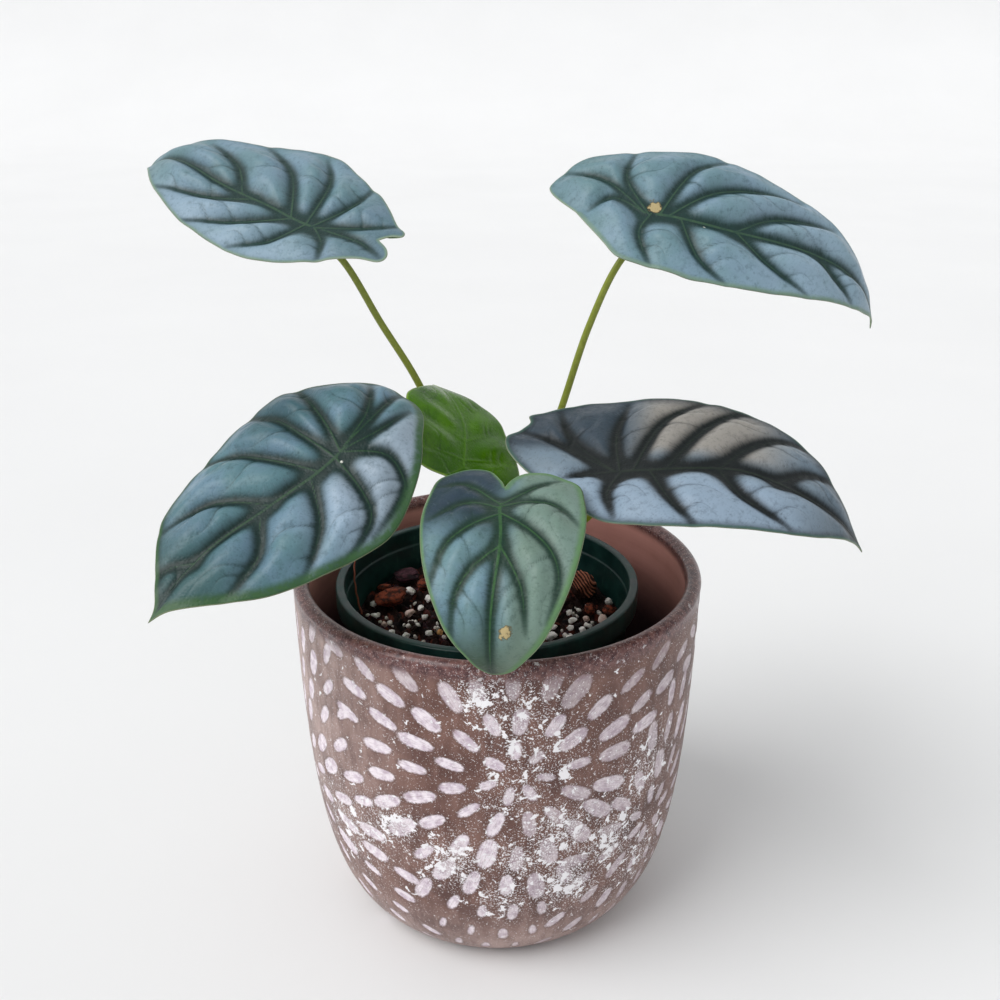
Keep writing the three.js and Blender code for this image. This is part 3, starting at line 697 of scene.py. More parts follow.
def make_mix(rng):
    radius = nursery_inner_radius(MIX_LEVEL) - MIX_GAP
    angles = full_turn(MIX_SEGMENTS)
    reach = np.linspace(1, 0, MIX_RINGS + 1)[:-1, None] * radius
    flat = around(NURSERY_CENTRE, reach, angles)[..., :2].reshape(-1, 2)
    flat = np.vstack([flat, NURSERY_CENTRE])
    spot_reach = radius * np.sqrt(rng.uniform(0, 1, CRUMBS))
    spot_angle = rng.uniform(0, 2 * math.pi, CRUMBS)
    spots = around(NURSERY_CENTRE, spot_reach, spot_angle)[:, :2]
    lift = rng.uniform(*CRUMB_LIFT, CRUMBS)
    tilt = rng.uniform(-CRUMB_TILT, CRUMB_TILT, (CRUMBS, 2))
    kind = rng.uniform(0, 1, CRUMBS)

    def nearest_crumb(part):
        away = ((part[:, None] - spots) ** 2).sum(-1)
        return away.argmin(1), away.min(1)

    own, away = in_parts(nearest_crumb, flat, 2000)
    top = lift[own] + (tilt[own] * (flat - spots[own])).sum(1) - 0.5 * np.minimum(away, 2.5)
    fade = 1 - ease(np.hypot(*(flat - NURSERY_CENTRE).T), radius - 1.2, radius)
    heights = mix_height(*flat.T) + (top - 0.2) * (0.35 + 0.65 * fade)
    surface_points = np.column_stack([flat, heights])
    bottom = NURSERY_FLOOR_TOP + 0.1
    skirts = []
    for height in (bottom, MIX_LEVEL - 9):
        wall = nursery_inner_radius(height) - MIX_GAP
        skirts.append(around(NURSERY_CENTRE, wall, angles, height))
    foot_middle = (*NURSERY_CENTRE, bottom)
    points = np.vstack([*skirts, surface_points[:-1], foot_middle, surface_points[-1]])
    faces = tube_faces(MIX_RINGS + 2, MIX_SEGMENTS)
    plain = np.full(2 * MIX_SEGMENTS, 0.3)
    crumb = np.r_[plain, kind[own[:-1]], 0.3, kind[own[-1]]]
    add_piece(
        "mix_fines", points, faces, [mix_look()], ["potting_mix"], {"crumb": crumb}
    )


def ball(detail):
    """The points and faces of an icosphere of radius 1."""
    shape = bmesh.new()
    bmesh.ops.create_icosphere(shape, subdivisions=detail, radius=1)
    points = np.array([vertex.co for vertex in shape.verts])
    faces = [tuple(vertex.index for vertex in face.verts) for face in shape.faces]
    shape.free()
    return points, faces


BALLS = {detail: ball(detail) for detail in (2, 3, 4, 5)}


def waves(points, scale, seed, octaves=3):
    """Smooth repeatable noise from -1 to 1 at each point, with finer octaves added."""
    shift = Vector((seed * 7.3, seed * 3.1, seed * 1.7))
    return np.array([noise.fractal(Vector(p) * scale + shift, 0.7, 2.0, octaves) for p in points])


def chipped(rng, detail, cuts, deepest):
    """A unit lump with flat broken faces: a ball cut back by planes."""
    points, faces = BALLS[detail]
    reach = np.ones(len(points))
    for _ in range(cuts):
        normal = rng.normal(size=3)
        normal /= np.linalg.norm(normal)
        depth = rng.uniform(deepest, 0.92)
        facing = points @ normal
        reach = np.minimum(reach, np.where(facing > 0.05, depth / np.maximum(facing, 0.05), 9))
    return points * reach[:, None], faces


def turned_about_z(points, degrees):
    c, s = math.cos(math.radians(degrees)), math.sin(math.radians(degrees))
    return points @ np.array([[c, s, 0], [-s, c, 0], [0, 0, 1]])


def fit_in(points, node):
    """Moves and scales the points so that they fill a CAD node's box, in mm."""
    low, high = (np.array(corner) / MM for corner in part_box(node))
    have_low, have_high = points.min(0), points.max(0)
    scale = (high - low) / (have_high - have_low)
    return low + (points - have_low) * scale


def bark_look(name, dark, light, fleck):
    look = Look(name, roughness=0.85, specular=0.25)
    layer = look.attribute("layer")
    grain = look.noise(1.5, detail=5, rough=0.7)
    depth = look.plus(layer, look.times(grain, 0.6))
    look.colour = look.blend(look.ease(depth, 0.3, 1.1), dark, light)
    look.tint(look.ease(look.noise(2.6, 4, 0.7), 0.6, 0.72, 0, 0.7), fleck)
    look.tint(look.ease(look.noise(0.7, 3), 0.5, 0.7, 0, 0.5), (24, 12, 12))
    look.bump(grain, 0.35, 0.9)
    return look.finish(look.ease(grain, 0.3, 0.7, 0.6, 0.9))


# Each chip: turn about Z, fineness of its layers per mm, and its finish
CHIPS = {
    "bark_1": (20, 0.9, "red"), "bark_2": (-35, 0.8, "purple"), "bark_3": (60, 1.1, "red"),
    "bark_4": (10, 1.2, "red"), "bark_5": (75, 1.1, "red"), "bark_6": (-20, 1.2, "red"),
    "bark_7": (40, 0.8, "pink"),
}


def make_bark(rng):
    looks = {
        "red": bark_look("bark_red", (52, 22, 16), (134, 62, 40), (168, 96, 66)),
        "purple": bark_look("bark_purple", (28, 14, 22), (72, 40, 50), (120, 78, 84)),
        "pink": bark_look("bark_pink", (110, 62, 54), (186, 128, 114), (210, 160, 146)),
    }
    for order, (name, (turn, layers, finish)) in enumerate(CHIPS.items()):
        points, faces = chipped(rng, 4, 11, 0.5)
        low, high = (np.array(corner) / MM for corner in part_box(name))
        half = (high - low) / 2
        rough = waves(points, 2.6, order + 2, 4)
        slices = waves(points * (1, 1, 6), 1.3, order + 9, 3)
        points = points * (1 + 0.09 * rough + 0.1 * slices)[:, None]
        points = turned_about_z(points * half, turn)
        points = fit_in(points, name)
        layer = 0.5 + 0.5 * np.sin(points[:, 2] * layers * 4 + 3 * rough)
        add_piece(f"{name}_chip", points, faces, [looks[finish]], [name], {"layer": layer})


def husk_look():
    look = Look("coco_husk", roughness=0.9, specular=0.2)
    strand = look.attribute("strand")
    side = look.attribute("side")
    grain = look.noise(2.2, detail=4, rough=0.7)
    look.colour = look.blend(look.ease(strand, 0.3, 0.8), (56, 26, 20), (172, 106, 84))
    look.tint(look.ease(grain, 0.55, 0.8, 0, 0.5), (206, 150, 122))
    look.tint(side, look.blend(grain, (20, 10, 9), (58, 30, 22)))
    look.bump(look.plus(strand, grain), 0.3, 0.8)
    return look.finish()


def make_husk(rng):
    """A wedge cut from a husk: parallel strands on top, a dark broken face below."""
    name = "coco_husk"
    points, faces = chipped(rng, 5, 7, 0.55)
    low, high = (np.array(corner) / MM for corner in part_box(name))
    points = points * (high - low) / 2
    across = points[:, 0] * 0.82 + points[:, 1] * 0.35 + points[:, 2] * 0.45
    bent = across + 1.1 * waves(points, 0.12, 4, 2)
    strand = 0.5 + 0.5 * np.sin(bent * 5.6)
    side = ease(-points[:, 0] * 0.6 - points[:, 2] * 0.7 - 0.4 * points[:, 1], 0.6, 2.4)
    lengths = np.linalg.norm(points, axis=1, keepdims=True)
    relief = 0.42 * strand * (1 - side) + 0.35 * waves(points, 0.5, 8, 4)
    points = points * (1 + relief[:, None] / lengths)
    points = fit_in(points, name)
    add_piece(
        "coco_husk_wedge", points, faces, [husk_look()], [name],
        {"strand": strand, "side": side},
    )


def perlite_look(name, light, dark):
    look = Look(name, roughness=0.9, specular=0.2)
    pores = look.cells(2.0)
    stain = look.noise(0.5, detail=4, rough=0.6)
    look.colour = look.blend(look.ease(stain, 0.4, 0.75), light, dark)
    look.tint(look.ease(pores, 0.0, 0.22, 0.5, 0), (120, 96, 84))
    look.bump(look.plus(look.ease(pores, 0, 0.4), look.noise(3, 3)), 0.22, 0.8)
    return look.finish()


PERLITE_COUNT = 26
STAINED_GRAINS = {7: "orange", 4: "pink", 15: "pink", 19: "pink", 11: "pink"}


def make_perlite(rng):
    looks = {
        "white": perlite_look("perlite_white", (255, 250, 248), (218, 202, 200)),
        "orange": perlite_look("perlite_orange", (232, 178, 120), (176, 104, 62)),
        "pink": perlite_look("perlite_pink", (232, 206, 198), (190, 146, 136)),
    }
    for number in range(1, PERLITE_COUNT + 1):
        node = f"perlite_{number}"
        points, faces = chipped(rng, 3, 8, 0.44)
        points = points * (1 + 0.22 * waves(points, 1.9, number, 3))[:, None]
        points = fit_in(points, node)
        look = looks[STAINED_GRAINS.get(number, "white")]
        add_piece(f"grain_{number}", points, faces, [look], [node])


# Fine litter between the named pieces: how many, smallest and largest size in mm
FINE_CHIPS = (240, 1.6, 4.2)
FINE_PERLITE = (130, 1.2, 3.0)
# Where most of the fine perlite lies: centre and spread in mm
PERLITE_DRIFTS = [
    ((-28, -14), 10), ((24, -14), 8), ((-36, 4), 8), ((30, 2), 7), ((6, 30), 14), ((-14, -34), 9),
]


def scatter(rng, amount, drifts=None):
    """Repeatable places on the mix, clear of the corm and of the named pieces."""
    count, smallest, largest = amount
    taken = [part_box(node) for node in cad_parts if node.startswith(("bark", "perlite", "coco"))]
    reach = nursery_inner_radius(MIX_LEVEL) - 2
    places = []
    while len(places) < count:
        size = rng.uniform(smallest, largest)
        if drifts:
            (cx, cy), spread = drifts[rng.integers(len(drifts))]
            x, y = cx + rng.normal() * spread, cy + rng.normal() * spread
        else:
            x, y = rng.uniform(-reach, reach, 2) + NURSERY_CENTRE
        off_centre = math.hypot(x - NURSERY_CENTRE[0], y - NURSERY_CENTRE[1])
        if off_centre > reach - size / 2 or math.hypot(x - CORM_CENTRE[0], y - CORM_CENTRE[1]) < 12:
            continue
        blocked = False
        for low, high in taken:
            if low.x - 0.3 * size * MM < x * MM < high.x + 0.3 * size * MM:
                blocked = blocked or low.y - 0.3 * size * MM < y * MM < high.y + 0.3 * size * MM
        if not blocked:
            places.append((x, y, size))
    return places


def join_lumps(rng, places, detail, flatness):
    """One mesh of many small lumps, each half sunk in the mix, with its own tone."""
    all_points, all_faces, tones = [], [], []
    offset = 0
    for x, y, size in places:
        points, faces = chipped(rng, detail, 6, 0.5)
        points = points * rng.uniform((0.7, 0.45, flatness), (1.0, 0.8, flatness + 0.3)) * size / 2
        points = turned_about_z(points, rng.uniform(0, 360))
        tilt = rng.uniform(-0.4, 0.4)
        points[:, 2] += points[:, 0] * tilt
        points += (x, y, mix_height(x, y) + size * 0.22)
        all_points.append(points)
        all_faces += [tuple(index + offset for index in face) for face in faces]
        tones.append(np.full(len(points), rng.uniform()))
        offset += len(points)
    return np.vstack(all_points), all_faces, np.concatenate(tones)


def make_litter(rng):
    points, faces, tones = join_lumps(rng, scatter(rng, FINE_CHIPS), 3, 0.3)
    add_piece("fine_bark", points, faces, [mix_look()], [], {"crumb": tones})
    points, faces, tones = join_lumps(rng, scatter(rng, FINE_PERLITE, PERLITE_DRIFTS), 2, 0.6)
    look = perlite_look("perlite_fine", (252, 244, 240), (204, 182, 178))
    add_piece("fine_perlite", points, faces, [look], [])


# Corm and petioles
FIBRE_ROUTE = [(-49.2, -4, 112), (-51, 0, 117), (-52.3, 5, 122), (-52.4, 9, 127.5)]
SHEATH_RING_RADIUS = 4.6
PETIOLE_BASE_HEIGHT = CORM_TOP + 0.3
PETIOLE_RADIUS = 1.32
SHEATH_RADIUS = 3.0
SHEATH_LENGTH = 26.0
STALK_ROWS = 150
STALK_SIDES = 20
STALK_GROOVE = 0.12


def between(t, start, end, first, last):
    """The point at t on the straight run from one point at start to another at end."""
    return ((end - t) * first + (t - start) * last) / (end - start)


def stem_curve(points, steps):
    """A centripetal Catmull-Rom curve, evenly sampled along its length."""
    points = np.array(points, float)
    padded = np.vstack([2 * points[0] - points[1], points, 2 * points[-1] - points[-2]])
    made = []
    for part in zip(padded, padded[1:], padded[2:], padded[3:]):
        spans = [np.linalg.norm(after - before) ** 0.5 for before, after in zip(part, part[1:])]
        knots = np.cumsum([0, *spans])
        t = np.linspace(knots[1], knots[2], 40)[:, None]
        for reach in (1, 2):
            runs = zip(knots, knots[reach:], part, part[1:])
            part = [between(t, *run) for run in runs]
        made.append(between(t, knots[1], knots[2], *part))
    route = np.vstack(made)
    even = np.linspace(0, travelled(route)[-1], steps + 1)
    return points_at(route, even), even


def swept(route, radii, sides, groove=0.0):
    """A closed round tube along a route, with a radius at each station and one groove."""
    ways = np.gradient(route, axis=0)
    ways /= np.linalg.norm(ways, axis=1, keepdims=True)
    side = np.cross(ways[0], (0.3, 1, 0.1))
    angles = full_turn(sides)
    shape = 1 - groove * dip(angles - 2, 0.45)
    rings = []
    for centre, way, radius in zip(route, ways, radii):
        side = side - way * (side @ way)
        side /= np.linalg.norm(side)
        outward = np.outer(np.cos(angles), side) + np.outer(np.sin(angles), np.cross(way, side))
        rings.append(centre + (radius * shape)[:, None] * outward)
    points = np.vstack([*rings, route[:1], route[-1:]])
    return points, tube_faces(len(route), sides)


def petiole_look():
    look = Look("petiole_skin", roughness=0.38, specular=0.5)
    up = look.attribute("stalk_height")
    fleck = look.streaks((900, 900, 220), 4, 0.6)
    look.colour = look.blend(look.ease(up, 8, 60), (92, 92, 40), (124, 134, 36))
    look.tint(look.ease(up, 0, 14, 0.75, 0), (120, 84, 58))
    look.tint(look.ease(fleck, 0.55, 0.75, 0, 0.5), (98, 92, 40))
    look.tint(look.ease(look.noise(0.5, 3), 0.45, 0.75, 0, 0.45), (148, 156, 66))
    look.bump(fleck, 0.08, 0.5)
    return look.finish(look.ease(fleck, 0.3, 0.7, 0.32, 0.48))


def make_petiole(key, leaf, look):
    angle = math.radians(leaf["sheath"])
    base = around(CORM_CENTRE, SHEATH_RING_RADIUS, angle, PETIOLE_BASE_HEIGHT)
    hub, normal = blade_place(leaf, *leaf["hub"])
    end = hub - normal * 0.25
    points = [base - (0, 0, 3), base + (0, 0, 2.7), *leaf["stem"], hub - normal * 4.5, end]
    route, far = stem_curve(points, STALK_ROWS)
    sheath = 1 - ease(far, 2, SHEATH_LENGTH)
    knee = 0.28 * dip(far[-1] - far, 5)
    radii = PETIOLE_RADIUS + (SHEATH_RADIUS - PETIOLE_RADIUS) * sheath**1.6 + knee
    radii *= 1 - 0.1 * ease(far, 30, far[-1])
    points, faces = swept(route, radii, STALK_SIDES, STALK_GROOVE)
    height = np.r_[np.repeat(far, STALK_SIDES), far[0], far[-1]]
    add_piece(
        f"stalk_{key}", points, faces, [look], [f"petiole_{key}"],
        {"stalk_height": height},
    )


def make_corm():
    profile = rounded([
        (0, CORM_BOTTOM), (CORM_RADIUS * 0.6, CORM_BOTTOM), (CORM_RADIUS, CORM_BOTTOM + 5),
        (CORM_RADIUS, CORM_TOP - 4), (CORM_TOP_RADIUS, CORM_TOP), (0, CORM_TOP),
    ], 2.0, 12)
    points, faces = lathe(profile, 72, CORM_CENTRE)
    around = np.arctan2(points[:, 1] - CORM_CENTRE[1], points[:, 0] - CORM_CENTRE[0])
    ring = 0.25 * np.sin(points[:, 2] * 2.4 + 0.6 * np.sin(2 * around))
    rough = waves(points, 0.35, 5, 4)
    outward = points - (*CORM_CENTRE, (CORM_BOTTOM + CORM_TOP) / 2)
    outward /= np.linalg.norm(outward, axis=1, keepdims=True)
    points = points + outward * (ring + 0.5 * rough)[:, None]
    look = Look("corm_skin", roughness=0.8, specular=0.3)
    strands = look.streaks((500, 500, 90), 4, 0.65)
    look.colour = look.blend(strands, (62, 40, 24), (138, 108, 66))
    look.tint(look.ease(look.noise(0.3, 3), 0.5, 0.7, 0, 0.6), (96, 102, 48))
    look.bump(strands, 0.4, 0.8)
    add_piece("corm_body", points, faces, [look.finish()], ["corm"])


def make_fibre():
    route, far = stem_curve(FIBRE_ROUTE, 60)
    route[:, 0] += 0.12 * np.sin(far * 1.3)
    points, faces = swept(route, 0.42 - 0.14 * far / far[-1], 10)
    look = Look("dry_fibre", roughness=0.75, specular=0.3)
    grain = look.noise(1.2, detail=3)
    look.bump(grain, 0.1, 0.5)
    look.colour = look.blend(grain, (74, 34, 26), (150, 80, 58))
    add_piece("dry_fibre_strand", points, faces, [look.finish()], ["dry_fibre"])


# Leaves. The outline, the bends and the places repeat the CAD solids.
# Shares of the length: how far back the tail's bend is measured, and where the tip's curl starts
TAIL_STATION = 0.36
CURL_START = 0.6
BLADE_THICKNESS = 0.62
MESH_PITCH = 0.68
# Where the mesh rows start on the midrib, as shares of the length, by how far round the outline
ROW_ENDS = [0, 0.15, 0.25, 0.36, 0.5, 0.7, 1]
ROW_STARTS = [0.7, 0.33, 0.08, 0, -0.06]
# Each side vein: where it leaves the midrib as a share of the length, then the points it passes,
# along the blade in lengths and across it in widths of its half. Scars and specks are given by
# their place, along in lengths and across in mm, and their radius.
LEAVES = {}
LEAVES["a"] = {
    "junction": (-61.5, 15.5, 250.5), "heading": 149, "pitch": 15, "roll": -24.5, "length": 81,
    "droop": 3, "tail": -6, "sag": (0.002, 0.002), "curl": 10, "widths": (56, 55),
    "left": [
        (0.97, 0), (0.935, 3.2), (0.87, 7), (0.75, 14.2), (0.61, 20.2), (0.44, 25.4), (0.24, 28.5),
        (0.07, 28.8), (-0.05, 25.6), (-0.16, 20.7), (-0.25, 15.3), (-0.35, 10.8), (-0.43, 8.8),
        (-0.45, 6), (-0.42, 2.6), (-0.355, 0),
    ],
    "right": [
        (0.97, 0), (0.97, 3.2), (0.945, 7.2), (0.88, 11.4), (0.75, 16), (0.56, 20.6), (0.39, 25.6),
        (0.23, 29.4), (0.12, 29.4), (0.01, 26.3), (-0.09, 23), (-0.17, 20.4), (-0.26, 15.5),
        (-0.35, 10), (-0.42, 6.9), (-0.43, 4.4), (-0.39, 3.3), (-0.355, 0),
    ],
    "stem": [(-9, 8, 130), (-16, 15, 160), (-27, 17, 191), (-40, 17, 214), (-53, 16, 237)],
    "hub": (-0.04, 4.5), "midrib": [(0.2, 3.8), (0.48, 3), (0.8, -1.2)],
    "left_veins": [
        (0.27, (0.45, 0.2), (0.7, 0.27)), (0.05, (0.25, 0.31), (0.44, 0.44)),
        (-0.02, (0.04, 0.33), (0.15, 0.48)), (-0.06, (-0.15, 0.17), (-0.2, 0.3)),
        (-0.1, (-0.28, 0.06), (-0.42, 0.12)),
    ],
    "right_veins": [
        (0.34, (0.48, 0.13), (0.7, 0.24)), (0.06, (0.25, 0.25), (0.47, 0.4)),
        (-0.02, (0.07, 0.3), (0.19, 0.49)), (-0.05, (-0.11, 0.21), (-0.1, 0.42)),
        (-0.07, (-0.27, 0.08), (-0.37, 0.17)),
    ],
    "slot": "silver_leaf", "finish": "silver", "sheath": 120, "rim": (1.3, 1.0),
    "dark_margin": 0.35,
}
LEAVES["b"] = {
    "junction": (54.5, 20, 250), "heading": -9, "pitch": -5, "roll": 39.5, "length": 100,
    "droop": 49, "tail": 19, "sag": (0.008, 0.002), "curl": 10, "widths": (64, 52),
    "left": [
        (1, 0), (0.93, 2.3), (0.82, 9.7), (0.64, 20.9), (0.4, 28.7), (0.19, 33.6), (0.06, 33.8),
        (-0.07, 31.8), (-0.18, 30.5), (-0.28, 28), (-0.34, 23.1), (-0.39, 16.4), (-0.4, 12.2),
        (-0.35, 5.8), (-0.285, 0),
    ],
    "right": [
        (1, 0), (0.93, 1.7), (0.82, 6.8), (0.64, 14.4), (0.4, 22.2), (0.16, 24.9), (0.06, 23.6),
        (-0.04, 21.7), (-0.12, 19.3), (-0.17, 13.9), (-0.23, 6.8), (-0.285, 0),
    ],
    "stem": [(2, 8, 130), (12, 14, 154), (22, 17, 181), (32, 19, 213), (42, 20, 235)],
    "hub": (-0.01, 0.2), "midrib": [(0.26, -1.2), (0.57, 1.9), (0.8, 2.4)],
    "left_veins": [
        (0.26, (0.4, 0.15), (0.64, 0.27)), (0.03, (0.16, 0.2), (0.3, 0.3), (0.5, 0.36)),
        (0, (0.09, 0.34), (0.21, 0.5)), (-0.04, (-0.13, 0.25), (-0.12, 0.47)),
        (-0.05, (-0.2, 0.23), (-0.35, 0.31)), (-0.05, (-0.16, 0.1), (-0.24, 0.01)),
    ],
    "right_veins": [
        (0.26, (0.38, 0.2), (0.53, 0.32)), (0.07, (0.14, 0.29), (0.24, 0.45)),
        (-0.03, (-0.06, 0.17), (-0.01, 0.42)), (0.57, (0.64, 0.07), (0.74, 0.15)),
    ],
    "slot": "silver_leaf", "finish": "silver", "sheath": 60, "rim": (1.0, 2.0), "dark_margin": 0.3,
    "scar": (-0.02, 3.1, 2.7), "speck": (0.15, -2.8, 0.45),
}
LEAVES["c"] = {
    "junction": (-50.5, -35, 189), "heading": 222, "pitch": -31, "roll": -21, "length": 77.5,
    "droop": -7.5, "tail": 39, "sag": (0.014, 0.014), "curl": 4, "widths": (64.5, 78),
    "left": [
        (1, 0), (0.93, 2.4), (0.82, 10.1), (0.64, 21.9), (0.4, 29.6), (0.21, 34), (0.11, 34),
        (0.01, 31.8), (-0.1, 28.2), (-0.2, 23.4), (-0.28, 17.6), (-0.36, 12.7), (-0.42, 8.2),
        (-0.455, 2.2), (-0.46, 0),
    ],
    "right": [
        (1, 0), (0.93, 2.9), (0.82, 12.7), (0.64, 27), (0.4, 34), (0.16, 38), (0.02, 37),
        (-0.08, 34.2), (-0.16, 29.9), (-0.25, 24.3), (-0.34, 19.2), (-0.43, 15), (-0.465, 9.8),
        (-0.47, 3.6), (-0.46, 0),
    ],
    "stem": [(-9, -1, 128), (-12, 1, 150), (-17, -3, 170), (-28, -13, 184), (-41, -26, 189)],
    "hub": (0.03, 4.1), "midrib": [(0.35, 0.8), (0.6, -2.4), (0.8, -2.4)],
    "left_veins": [
        (0.42, (0.54, 0.15), (0.66, 0.19), (0.78, 0.2)),
        (0.18, (0.29, 0.24), (0.4, 0.33), (0.5, 0.38)),
        (0.05, (0.1, 0.31), (0.17, 0.42), (0.35, 0.47)),
        (0.02, (-0.09, 0.23), (-0.07, 0.37), (0, 0.44), (0.2, 0.48)),
        (0.01, (-0.16, 0.11), (-0.36, 0.1)),
    ],
    "right_veins": [
        (0.73, (0.79, 0.09), (0.87, 0.12)), (0.37, (0.44, 0.12), (0.53, 0.21), (0.7, 0.26)),
        (0.14, (0.21, 0.15), (0.28, 0.32), (0.4, 0.46)),
        (0.05, (0.05, 0.14), (0.05, 0.31), (0.1, 0.52)),
        (0.02, (-0.04, 0.08), (-0.12, 0.31), (-0.15, 0.44)), (0.02, (-0.19, 0.01), (-0.39, 0.17)),
        (0.02, (-0.2, -0.02), (-0.45, 0.05)),
    ],
    "slot": "silver_leaf", "finish": "deep", "sheath": 180, "rim": (4.2, 1.8), "dark_margin": 0.75,
    "speck": (0.05, 6.8, 0.45),
}
LEAVES["d"] = {
    "junction": (41.5, -27, 178), "heading": -17, "pitch": 12.5, "roll": 19, "length": 88,
    "droop": 61, "tail": -17.5, "sag": (0.002, 0.002), "curl": 5, "widths": (73.5, 58),
    "left": [
        (1, 0), (0.93, 2.8), (0.82, 12.4), (0.64, 26.9), (0.4, 33.6), (0.14, 37), (0, 37.6),
        (-0.16, 37), (-0.28, 33.9), (-0.37, 29.2), (-0.42, 25.9), (-0.41, 22), (-0.44, 16.9),
        (-0.48, 11.5), (-0.465, 5.5), (-0.42, 0),
    ],
    "right": [
        (1, 0), (0.93, 2.2), (0.82, 8.9), (0.64, 19.4), (0.4, 25.9), (0.14, 29), (-0.02, 27),
        (-0.1, 23.5), (-0.18, 17), (-0.27, 10.5), (-0.35, 5.5), (-0.42, 0),
    ],
    "stem": [(6, -3, 124), (18, -9, 140), (32, -18, 158)],
    "hub": (-0.02, -2.6), "midrib": [(0.14, -2.6), (0.32, 0), (0.45, 1.6), (0.7, -0.5)],
    "left_veins": [
        (0.55, (0.67, 0.15), (0.79, 0.2)), (0.34, (0.43, 0.18), (0.56, 0.31), (0.7, 0.33)),
        (0.15, (0.25, 0.23), (0.37, 0.41), (0.5, 0.46)), (0.03, (0.11, 0.3), (0.27, 0.48)),
        (-0.02, (-0.06, 0.22), (-0.04, 0.46)), (-0.04, (-0.23, 0.2), (-0.3, 0.4)),
        (-0.04, (-0.25, 0.14), (-0.42, 0.22)),
    ],
    "right_veins": [
        (0.33, (0.43, 0.19), (0.6, 0.31)), (0.09, (0.17, 0.27), (0.27, 0.46)),
        (-0.01, (-0.05, 0.22), (-0.01, 0.42)), (-0.03, (-0.14, 0.06), (-0.22, 0.1)),
    ],
    "slot": "dark_leaf", "finish": "dusk", "sheath": 0, "rim": (1.6, 1.3), "dark_margin": 0.6,
}
LEAVES["e"] = {
    "junction": (1.5, -53, 174.5), "heading": 265, "pitch": -6, "roll": -0.5, "length": 64.5,
    "droop": 100, "tail": -8, "sag": (0.002, 0.002), "curl": 10, "widths": (51, 47),
    "left": [
        (1, 0), (0.94, 2.9), (0.82, 8.9), (0.64, 16.6), (0.4, 22.7), (0.14, 25.5), (-0.09, 24.9),
        (-0.24, 22.5), (-0.32, 14.2), (-0.31, 6.2), (-0.24, 1.8), (-0.18, 0),
    ],
    "right": [
        (1, 0), (0.94, 1.5), (0.82, 6.3), (0.64, 14.4), (0.4, 20.7), (0.14, 23.5), (-0.09, 23),
        (-0.24, 20.9), (-0.32, 13.2), (-0.32, 5.8), (-0.24, 1.7), (-0.18, 0),
    ],
    "stem": [(-2, -14, 124), (0, -30, 142), (1, -44, 157)],
    "hub": (0, -0.6), "midrib": [(0.24, 0.8), (0.6, -0.5)],
    "left_veins": [
        (0.26, (0.37, 0.1), (0.48, 0.16), (0.66, 0.19)),
        (0.05, (0.16, 0.18), (0.29, 0.32), (0.43, 0.36), (0.6, 0.31)),
        (0, (-0.06, 0.14), (-0.04, 0.31), (0.11, 0.45)), (-0.02, (-0.18, 0.17), (-0.26, 0.33)),
    ],
    "right_veins": [
        (0.26, (0.38, 0.15), (0.52, 0.24), (0.68, 0.25)),
        (0.06, (0.15, 0.19), (0.28, 0.33), (0.48, 0.4)), (0.01, (-0.03, 0.22), (0.12, 0.45)),
        (-0.03, (-0.19, 0.25), (-0.16, 0.44)),
    ],
    "slot": "silver_leaf", "finish": "green", "sheath": 300, "rim": (2.6, 1.3), "dark_margin": 0.5,
    "scar": (0.65, 3.8, 2.1),
}
LEAVES["f"] = {
    "junction": (-10.5, -14.6, 173.4), "heading": 102, "pitch": 40, "roll": 29.5, "length": 41,
    "droop": 18, "tail": 5.5, "sag": (0.002, 0.002), "curl": 4.5, "widths": (42.5, 48),
    "left": [
        (1, 0), (0.93, 1.8), (0.82, 8.1), (0.64, 17.8), (0.4, 19.7), (0.14, 21.3), (-0.06, 18.8),
        (-0.15, 8.1), (-0.2, 4.5), (-0.19, 1.9), (-0.15, 0.7), (-0.11, 0),
    ],
    "right": [
        (1, 0), (0.93, 2), (0.82, 8.9), (0.64, 19.4), (0.4, 22.1), (0.14, 24), (-0.07, 21.5),
        (-0.18, 10.7), (-0.24, 6.1), (-0.24, 2.6), (-0.18, 0.9), (-0.14, 0),
    ],
    "stem": [(-6, -6, 126), (-7, -8, 145), (-8, -11, 160)],
    "hub": (0, 1), "midrib": [(0.4, -3), (0.7, -1.5)],
    "left_veins": [
        (0.5, (0.65, 0.2), (0.78, 0.32)), (0.25, (0.4, 0.25), (0.5, 0.42)),
        (0.05, (0.1, 0.25), (0.15, 0.45)), (-0.02, (-0.12, 0.2), (-0.15, 0.38)),
    ],
    "right_veins": [
        (0.5, (0.62, 0.2), (0.75, 0.32)), (0.25, (0.36, 0.25), (0.46, 0.42)),
        (0.05, (0.1, 0.25), (0.17, 0.45)), (-0.02, (-0.12, 0.2), (-0.15, 0.38)),
    ],
    "slot": "young_leaf", "finish": "young", "sheath": 240, "rim": (0.8, 0.8), "dark_margin": 0.2,
}
HALVES = {"left": 1, "right": -1}
PUFF_WIDTH = 4.1
# Half widths in mm of the midrib, a main vein and a fine one where they start
MIDRIB_WIDTH = 0.62
VEIN_WIDTH = 0.4
FINE_VEIN_WIDTH = 0.16
# Fine branches: where each leaves its main vein, and how far it swings to the next, as shares
FINE_BRANCHES = [(0.5, 0.6), (0.74, 0.3)]
# Per finish: puff height of the panels in mm, width of the dark band by a vein, band strength
FINISHES = {
    "silver": (4.2, 2.5, 0.9), "deep": (3.9, 2.7, 0.95), "dusk": (3.0, 3.2, 1.0),
    "green": (3.0, 2.2, 0.9), "young": (1.5, 2.4, 0.3),
}
